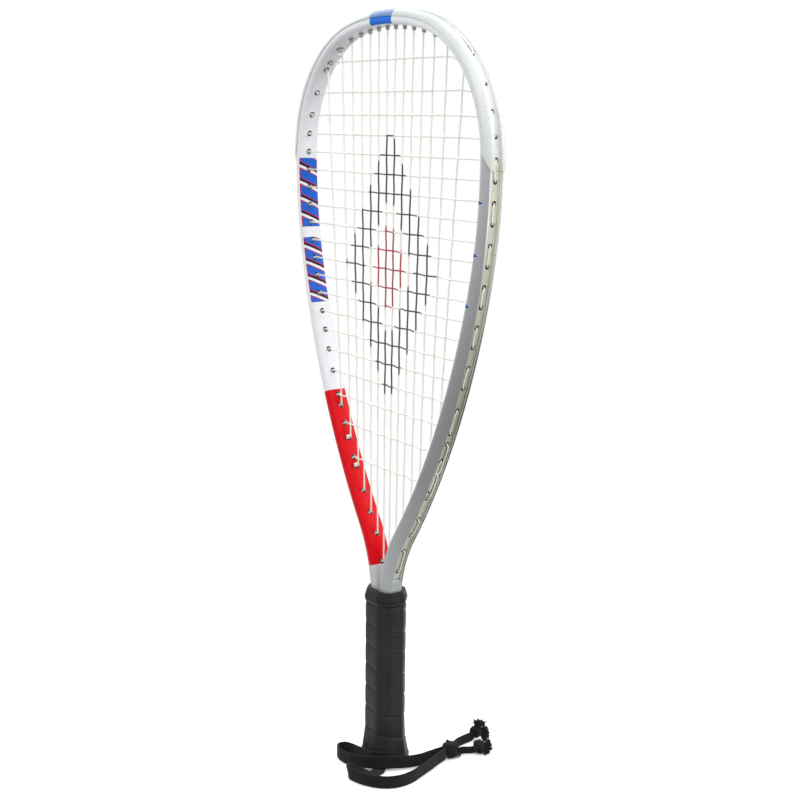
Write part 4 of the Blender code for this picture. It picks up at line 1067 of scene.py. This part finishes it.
def dress_grip():
    """The tape as one band wound up the handle, each turn over the edge of the one below."""
    band = GRIP_PITCH - GRIP_LAP
    fine = 16
    rise = GRIP_PITCH / 8
    start = GRIP_BOTTOM - (GRIP_PITCH - 0.5 * MM) / 2 + 0.8 * MM
    rings, along, around = [], [], []
    q = 0.0
    while start + rise * q - band / 2 <= GRIP_TOP - 0.6 * MM:
        middle = start + rise * q
        low, high = max(GRIP_BOTTOM, middle - band / 2), min(GRIP_TOP, middle + band / 2)
        span = high - low
        lead = min(1.5 * MM, span / 3)
        # Millimetres out from the octagon, and height
        profile = [(-1.3, low), (-0.55, low), (-0.22, low + 0.08 * lead), (-0.05, low + 0.3 * lead),
                   (0.10, low + lead)]
        profile += [(0.10 + 0.10 * math.sin(math.pi * k / 6), low + lead + (span - 2 * lead) * k / 6)
                    for k in range(1, 6)]
        profile += [(0.04, high - lead), (-0.12, high - 0.3 * lead), (-0.30, high - 0.08 * lead),
                    (-0.60, high), (-1.3, high)]
        rings.append([grip_point(-q, off * MM + flare(z), z) for off, z in profile])
        along.append(q * SIDE_LONG)
        around.append([z - middle for _, z in profile] + [low - middle])
        q += 1 / fine
    build = Build()
    build.sweep(rings, along, around)
    seat(build.item("grip_wrap", leather()), "grip_tape")


def dress_collar():
    low, high = GRIP_TOP + EASE, COLLAR_TOP
    fine, soft = 10, 0.16
    # Millimetres out from the octagon, and share of the height
    shape = [(-0.7, 0.0), (-0.3, 0.015), (0.0, 0.05), (0.35, 0.14), (0.62, 0.24), (0.70, 0.27),
             (0.30, 0.29), (0.25, 0.32), (0.62, 0.345), (0.86, 0.37), (0.84, 0.42), (0.45, 0.56),
             (0.0, 0.72), (-0.45, 0.87), (-0.72, 0.95), (-0.90, 0.985), (-1.25, 1.0), (-1.9, 0.985)]
    levels = [(off * MM, low + share * (high - low)) for off, share in shape]
    build = Build()
    build.sweep([[grip_point(k / fine, off, z, soft) for k in range(8 * fine)] for off, z in levels],
                [z for _, z in levels], [[k * SIDE_LONG / fine for k in range(8 * fine + 1)]] * len(levels))
    item = build.item("collar_ring", rubber("collar_rubber", (0.017, 0.017, 0.0175), 0.5))
    half_x = outline.at(swage_top)[0].x + THROAT_THICK / 2 + 0.25 * MM
    half_y = THROAT_DEEP / 2 + 0.15 * MM
    flat = [(half_x * squared(math.cos(a), 0.5), half_y * squared(math.sin(a), 0.62)) for a in angles(48)]
    slot = Build()
    slot.sweep([[Vector((x, y, z)) for x, y in flat] for z in (low - MM, high + MM)], [0.0, 1.0],
               [[k / 48 for k in range(49)]] * 2)
    cut(item, slot.item("slot", item.data.materials[0], 40.0))
    finish_mesh(item.data, 45.0)
    seat(item, "grip_collar")


def dress_cap():
    """The cap and the two halves of the core keep their meshes and get better surfaces."""
    black = rubber("cap_moulding", (0.020, 0.020, 0.021), 0.42)
    foam = rubber("core_foam", (0.24, 0.23, 0.21), 0.8)
    for name, surface in (("butt_cap", black), ("pallet_front", foam), ("pallet_back", foam)):
        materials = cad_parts[name].data.materials
        materials.clear()
        materials.append(surface)


# Wrist cord
WEB_WIDE, WEB_THICK, WEB_STEP = 10.0 * MM, 1.6 * MM, 1.0 * MM
RIBBON_THICK = 1.7 * MM
CORD_TURN = math.radians(54.9)
CORD_MATRIX = Matrix.Rotation(CORD_TURN, 3, "Z")
CORD_STEP = 4.6 * MM
# The source's routes: millimetres across the view, towards the camera and up, with a tilt in degrees
ROOT_ROUTE = ((-0.8, 4.3, 0, 90), (-3.9, 22.4, 0, 90))
UPPER_ROUTE = (
    (3.0, 20.6, 3.9, 0), (-3.0, 20.0, 3.9, 0), (-8.4, 19.0, 3.8, 0), (-12.2, 15.6, 3.2, 0),
    (-16.4, 10.2, 2.2, 0), (-21.2, 3.8, 1.0, 0), (-25.6, -1.8, 0.2, 0), (-31.2, -4.8, 0, 0),
    (-36.0, -1.6, 0, 0), (-34.4, 5.8, 0, 0), (-28.4, 13.2, 0, 0), (-20.6, 19.6, 0.8, 0),
    (-11.4, 24.2, 2.3, 0), (-1.8, 25.6, 2.9, 0), (8.4, 23.8, 2.3, 0), (18.2, 20.0, 1.1, 0),
    (27.4, 14.6, 0.2, 0), (36.0, 7.8, 0, 0), (45.1, 1.8, 0.3, 0),
)
LOWER_ROUTE = (
    (-4.0, 23.1, 0, 90), (-5.0, 26.6, 0, 90), (-8.8, 30.0, 0, 90), (-14.0, 31.0, 0, 80),
    (-19.0, 30.8, 0, 62), (-23.6, 31.0, 0, 44), (-26.6, 33.2, 0, 18), (-25.4, 37.4, 0, 0),
    (-21.0, 42.0, 0, 0), (-13.8, 47.2, 0, 0), (-5.0, 50.6, 0, 0), (5.0, 51.2, 0, 0), (14.4, 47.6, 0, 0),
    (22.4, 40.4, 0, 0), (28.6, 31.4, 0, 0), (35.0, 22.0, 0, 0), (41.0, 12.8, 0.1, 0), (47.1, 4.5, 0.4, 0),
)
TAIL_A_ROUTE = ((50.0, -3.0, 1.0, 0), (52.5, -7.7, 0.6, 0), (55.6, -14.4, 0.3, 0), (60.4, -20.8, 0.1, 0),
                (67.6, -27.8, 0, 0), (69.6, -29.6, 0.6, 0))
TAIL_B_ROUTE = ((51.0, -1.5, 1.4, 0), (56.6, -4.1, 0.4, 0), (61.6, -6.2, 0.2, 0), (67.8, -7.3, 0, 0),
                (70.4, -7.8, 0.4, 0))


def cord_point(across, toward, height):
    return CORD_MATRIX @ Vector((across * MM, -toward * MM, height))


def route_stops(route, wide=WEB_WIDE):
    """Place and tilt of the webbing's middle at each stop of a route."""
    made = []
    for across, toward, lift, degrees in route:
        tilt = math.radians(degrees)
        rest = EASE + (wide * math.cos(tilt) + WEB_THICK * math.sin(tilt)) / 2
        made.append((cord_point(across, toward, lift * MM + rest), tilt))
    return made


def smooth_route(stops, step):
    """Points every step or so on a smooth curve through the route's stops, each with its tilt."""
    places = [place for place, _ in stops]
    chain = [places[0], *places, places[-1]]
    made = []
    for i, ((a, tilt), (b, next_tilt)) in enumerate(zip(stops, stops[1:])):
        count = max(1, round((b - a).length / step))
        made += [(catmull(*chain[i:i + 4], k / count), tilt + (next_tilt - tilt) * (k / count))
                 for k in range(count)]
    return made + [stops[-1]]


def webbing():
    """Black ribbed webbing: lengthwise ribs in the mesh, the weave's steps in the bump."""
    made = Surface("cord_webbing", 0.85, specular=0.08)
    u, v = made.along()
    rib = made.size(made.math("SINE", made.times(v, math.pi / (2.0 * MM))))
    pick = made.math("SINE", made.times(made.add(u, made.times(rib, 0.5 * MM)), 2 * math.pi / (0.95 * MM)))
    pick = made.ramp(pick, -1.0, 1.0)
    color = made.mottle(made.noise(140.0, 3.0), (0.006, 0.006, 0.0065), (0.013, 0.013, 0.0135))
    raised = made.times(made.times(pick, rib), 0.5)
    made.set("Base Color", made.mix(raised, color, (0.030, 0.030, 0.030)))
    made.set("Sheen Weight", 0.12)
    made.set("Sheen Roughness", 0.5)
    weave = made.bump(pick, 0.16 * MM, 0.6)
    made.set("Normal", made.bump(made.noise(3200.0, 3.0, 0.7), 0.08 * MM, 0.4, weave))
    return made.material


def ribbed(t, ribs, least):
    """Share of the webbing's thickness at t across it, from -1 to 1."""
    return least + (1.0 - least) * (0.5 - 0.5 * math.cos(2 * math.pi * ribs * (t + 1) / 2))


def web_ring(point, ahead, tilt, wide, ribs):
    """One section of the webbing, with ribs on both faces."""
    up = Vector((0.0, 0.0, 1.0))
    up = (up - ahead * up.dot(ahead)).normalized()
    width = up * math.cos(tilt) + ahead.cross(up) * math.sin(tilt)
    face = ahead.cross(width)
    half, thin = (wide - WEB_THICK) / 2, WEB_THICK / 2
    ring, around = [], []
    for sign in (1.0, -1.0):
        for t in (-1.0 + 2.0 * k / (ribs * 6) for k in range(ribs * 6 + 1)):
            ring.append(point + width * sign * t * half + face * sign * thin * ribbed(t, ribs, 0.80))
            around.append(t * half)
        for q in (0.3, 0.5, 0.7):
            a = math.pi * (0.5 - q)
            out, off = half + thin * math.cos(a) * 0.9, thin * math.sin(a) * 0.9
            ring.append(point + width * sign * out + face * sign * off)
            around.append(half + q * MM)
    return ring, around + around[:1]


def add_web(build, points, wide=WEB_WIDE, ribs=5):
    """Sweeps the webbing along (place, tilt) points."""
    rings, around = [], []
    for i, (place, tilt) in enumerate(points):
        a, b = points[max(i - 1, 0)][0], points[min(i + 1, len(points) - 1)][0]
        ring, circle = web_ring(place, (b - a).normalized(), tilt, wide, ribs)
        rings.append(ring)
        around.append(circle)
    build.sweep(rings, lengths([place for place, _ in points]), around)


def band_round(build, centre, turn, radii, wide, turns, lift, start):
    """A ribbon wound round a centre, in millimetres; turn is the yaw, pitch and roll of its circle."""
    yaw, pitch, roll = turn
    spin = Matrix.Rotation(yaw, 3, "Z") @ Matrix.Rotation(pitch, 3, "Y") @ Matrix.Rotation(roll, 3, "X")
    a_axis, b_axis, width = [spin @ Vector(axis) for axis in ((1, 0, 0), (0, 0, 1), (0, 1, 0))]
    a_radius, b_radius = [radius * MM for radius in radii]
    steps = max(8, int(40 * turns))
    half = (wide * MM - RIBBON_THICK) / 2
    rings, around, line = [], [], []
    for i in range(steps + 1):
        q = start + 2 * math.pi * turns * i / steps
        out = a_axis * squared(math.cos(q), 0.75) * a_radius + b_axis * squared(math.sin(q), 0.75) * b_radius
        middle = centre + out + width * lift * MM * (i / steps - 0.5)
        normal = (a_axis * math.cos(q) / a_radius + b_axis * math.sin(q) / b_radius).normalized()
        ring, circle = [], []
        for sign in (1.0, -1.0):
            for t in (-1.0 + 2.0 * k / 20 for k in range(21)):
                swell = RIBBON_THICK * (sign / 2 * ribbed(t, 4, 0.78) + 0.35 * (1 - t * t))
                ring.append(middle + width * sign * t * half + normal * swell)
                circle.append(t * half)
            ring.append(middle + width * sign * (half + RIBBON_THICK * 0.42))
            circle.append(half + 0.5 * MM)
        rings.append(ring)
        around.append(circle + circle[:1])
        line.append(middle)
    build.sweep(rings, lengths(line), around)


def add_core(build, centre, size):
    """A soft lump inside a knot, of a size in millimetres."""
    long, wide, tall = [s * MM / 2 for s in size]
    rings = []
    for a in (math.pi * i / 12 for i in range(1, 12)):
        x, r = math.cos(a) * long, math.sin(a)
        rings.append([centre + CORD_MATRIX @ Vector((x, r * math.cos(b) * wide, r * math.sin(b) * tall))
                      for b in angles(20)])
    build.sweep(rings, [i * MM for i in range(11)], [[k * MM for k in range(21)]] * 11)


def add_fray(build, centre, way, spread, long, count, seed):
    """Loose threads of a cut end."""
    rng = random.Random(seed)
    side = way.cross(Vector((0.0, 0.0, 1.0))).normalized()
    up = side.cross(way).normalized()
    for _ in range(count):
        a, r = rng.uniform(0, 2 * math.pi), spread * math.sqrt(rng.random())
        out = side * math.cos(a) * r + up * math.sin(a) * r
        aim = (way + out / spread * 0.6).normalized()
        bend = side * rng.uniform(-0.5, 0.5) + up * rng.uniform(-0.5, 0.3)
        size = long * rng.uniform(0.7, 1.0)
        points = [centre + out * 0.5 + (aim + bend * t * 0.5) * size * t for t in (0.0, 0.25, 0.5, 0.75, 1.0)]
        for point in points:
            point.z = max(point.z, 0.35 * MM)
        add_tube(build, points, [thick * MM for thick in (0.42, 0.42, 0.40, 0.34, 0.18)], 6)


def web_piece(build, name, surface, replaced):
    return seat(build.item(name, surface), replaced)


def dress_strand(name, route, surface):
    """A strand of the webbing; returns the piece and its centre line at the source's own step."""
    stops = route_stops(route)
    build = Build()
    add_web(build, smooth_route(stops, WEB_STEP))
    item = web_piece(build, name + "_web", surface, name)
    return item, [place for place, _ in smooth_route(stops, CORD_STEP)]


def dress_root(surface):
    """Two layers of webbing come out under the cap's rim; the upper one turns up into the upper strand."""
    build = Build()
    for lift in (0.0, WEB_THICK + EASE):
        stops = [(place + Vector((0.0, 0.0, lift)), tilt) for place, tilt in route_stops(ROOT_ROUTE)]
        add_web(build, smooth_route(stops, WEB_STEP))
    return web_piece(build, "cord_root_layers", surface, "cord_root")


def dress_knot(surface):
    """One wide turn round the strands, a narrower one that crosses it behind, and two folded corners."""
    build = Build()
    centre = cord_point(51.0, -1.0, 6.4 * MM)
    behind = centre + CORD_MATRIX @ Vector((0.6 * MM, 1.6 * MM, 0))
    add_core(build, centre, (11.0, 8.6, 8.6))
    band_round(build, centre, (CORD_TURN + math.pi / 2, 0.0, -0.30), (4.6, 5.0), 9.4, 1.1, 1.6, 2.4)
    band_round(build, behind, (CORD_TURN + 0.6, 0.3, 0.5), (4.6, 4.4), 6.0, 0.98, 1.2, 2.0)
    for tilt, stops in ((1.15, ((2.0, 0.5, -2.4), (5.0, 0.0, -3.6), (8.2, -0.6, -4.0))),
                        (0.3, ((-0.6, 0.5, 2.0), (-2.4, 1.0, 3.9), (-3.6, 1.4, 4.2)))):
        corner = [(centre + CORD_MATRIX @ (Vector(stop) * MM), tilt) for stop in stops]
        add_web(build, smooth_route(corner, 0.8 * MM), 7.0 * MM, 3)
    return web_piece(build, "cord_knot_folds", surface, "cord_knot")


def dress_tail(name, route, wide, ribs, surface):
    build = Build()
    add_web(build, smooth_route(route_stops(route, wide), WEB_STEP), wide, ribs)
    return web_piece(build, name + "_web", surface, name)


def dress_end(name, place, size, surface, seed, frays):
    """A tail's end: a small tight knot with the threads of the cut webbing standing out of it."""
    centre = cord_point(place[0] + 1.2, place[1], place[2] * MM)
    build = Build()
    add_core(build, centre, size)
    band_round(build, centre, (CORD_TURN + 0.5 + seed, 0.4, 0.2), (3.7, 3.5), 6.0, 0.98, 1.0, 0.3)
    band_round(build, centre, (CORD_TURN + 1.9 + seed, -0.5, 0.6), (3.9, 3.3), 5.2, 0.98, 0.8, 1.3)
    for index, (root, way, spread, long, count) in enumerate(frays):
        start = centre + CORD_MATRIX @ (Vector(root) * MM)
        aim = (CORD_MATRIX @ Vector(way)).normalized()
        add_fray(build, start, aim, spread * MM, long * MM, count, seed + 10 * index)
    return web_piece(build, name + "_fray", surface, name)


def dress_anchor(surface):
    middle = Vector((0.0, 0.0, 9.6 * MM))
    folds = Build()
    add_core(folds, middle, (10.6, 10.6, 7.0))
    band_round(folds, middle, (0.4, 0.3, 0.2), (4.9, 3.2), 7.0, 0.98, 1.0, 0.2)
    web_piece(folds, "cord_anchor_folds", surface, "cord_anchor_knot")
    neck = Build()
    add_tube(neck, [Vector((0.0, 0.0, z * MM)) for z in (8.0, 5.0, 2.6, 1.0)],
             [r * MM for r in (3.7, 3.7, 3.6, 3.0)], 24)
    web_piece(neck, "cord_anchor_neck", surface, "cord_anchor_knot")


def dress_cord():
    surface = webbing()
    upper, upper_line = dress_strand("cord_strand_upper", UPPER_ROUTE, surface)
    lower, lower_line = dress_strand("cord_strand_lower", LOWER_ROUTE, surface)
    root = dress_root(surface)
    knot = dress_knot(surface)
    tails = [dress_tail("cord_tail_a", TAIL_A_ROUTE, 8.0 * MM, 4, surface),
             dress_tail("cord_tail_b", TAIL_B_ROUTE, 6.0 * MM, 3, surface)]
    # Each fray in millimetres: its root, its way, how wide and long it is, and the count of its threads
    ends = [dress_end("cord_end_a", (71.4, -31.0, 7.6), (9.4, 8.0, 9.8), surface, 3,
                      (((1.6, 0.0, 3.6), (0.05, 0.1, 1.0), 4.0, 6.6, 110),
                       ((4.8, 0.0, 1.0), (0.75, 0.0, 0.35), 3.2, 5.6, 60),
                       ((4.6, 0.0, -2.6), (0.85, -0.1, -0.55), 3.4, 6.6, 90))),
            dress_end("cord_end_b", (72.6, -8.4, 5.4), (8.6, 7.2, 7.6), surface, 5,
                      (((-1.0, 0.0, 2.4), (-0.35, 0.3, 0.8), 3.0, 3.4, 50),
                       ((4.2, 0.0, 1.0), (1.0, 0.0, 0.25), 3.4, 6.2, 90),
                       ((3.6, 0.6, -2.0), (0.9, -0.5, -0.35), 3.0, 5.8, 70)))]
    dress_anchor(surface)


# Floor, light and background
FLOOR_REACH, FLOOR_BASE, FLOOR_GAIN = 3.0, 0.36, 1.35
SHADOW_REACH, PLAIN_REACH = 0.16, 0.42
LAMPS_AIM = Vector((0, 0, 0.28))
# Name, place, size and power
LAMPS = (("key", (0.3, -1.6, 1.5), 1.2, 19.0), ("side", (1.7, 0.2, 1.3), 1.2, 18.0),
         ("top", (-0.3, 0.3, 2.2), 1.4, 18.0), ("rim", (1.0, 1.6, 1.2), 1.2, 16.0),
         ("left", (-1.5, 0.4, 1.5), 1.2, 10.0), ("fill", (-1.6, -1.0, 0.6), 1.2, 5.0))
SKY, SKY_LEVEL = (0.95, 0.97, 1.0), 0.30


def floor():
    """Grey paper for the light; the camera sees it a little over white, and plain white past the shadow."""
    mesh = bpy.data.meshes.new("floor")
    r = FLOOR_REACH
    mesh.from_pydata([(-r, -r, 0), (r, -r, 0), (r, r, 0), (-r, r, 0)], [], [(0, 1, 2, 3)])
    made = Surface("floor_paper", 0.9, specular=0.0)
    made.set("Base Color", (FLOOR_BASE,) * 3)
    lit = made.fill(made.new("ShaderNodeBsdfDiffuse"), (FLOOR_GAIN,) * 3)
    x, y, _ = made.split(made.place())
    away = made.ramp(made.reach(x, y), SHADOW_REACH, PLAIN_REACH, kind="SMOOTHSTEP")
    seen = made.blend(away, lit, made.new("ShaderNodeEmission").outputs[0])
    both = made.blend(made.watched(), made.shader.outputs[0], seen)
    made.put(made.tree.nodes["Material Output"].inputs["Surface"], both)
    mesh.materials.append(made.material)
    link(bpy.data.objects.new("floor", mesh))


def lamps():
    for name, place, size, power in LAMPS:
        lamp = bpy.data.lights.new(name, "AREA")
        lamp.energy = power
        lamp.size = size
        lamp.shape = "SQUARE"
        item = link(bpy.data.objects.new(name, lamp))
        item.location = place
        item.rotation_mode = "QUATERNION"
        item.rotation_quaternion = (LAMPS_AIM - Vector(place)).to_track_quat("-Z", "Y")


def sky():
    """Soft light all round, and white where the camera, glass or gloss looks."""
    world = bpy.data.worlds.new("studio")
    bpy.context.scene.world = world
    world.use_nodes = True
    made = Nodes(world.node_tree)
    made.tree.nodes.clear()
    soft = made.fill(made.new("ShaderNodeBackground"), SKY, SKY_LEVEL)
    white = made.fill(made.new("ShaderNodeBackground"), (1.0, 1.0, 1.0), 1.0)
    made.put(made.new("ShaderNodeOutputWorld").inputs[0], made.blend(made.watched(), soft, white))


dress_cord()
dress_frame()
dress_strips()
dress_strings()
dress_grip()
dress_collar()
dress_cap()
floor()
lamps()
sky()
bpy.context.scene.view_settings.view_transform = "Standard"
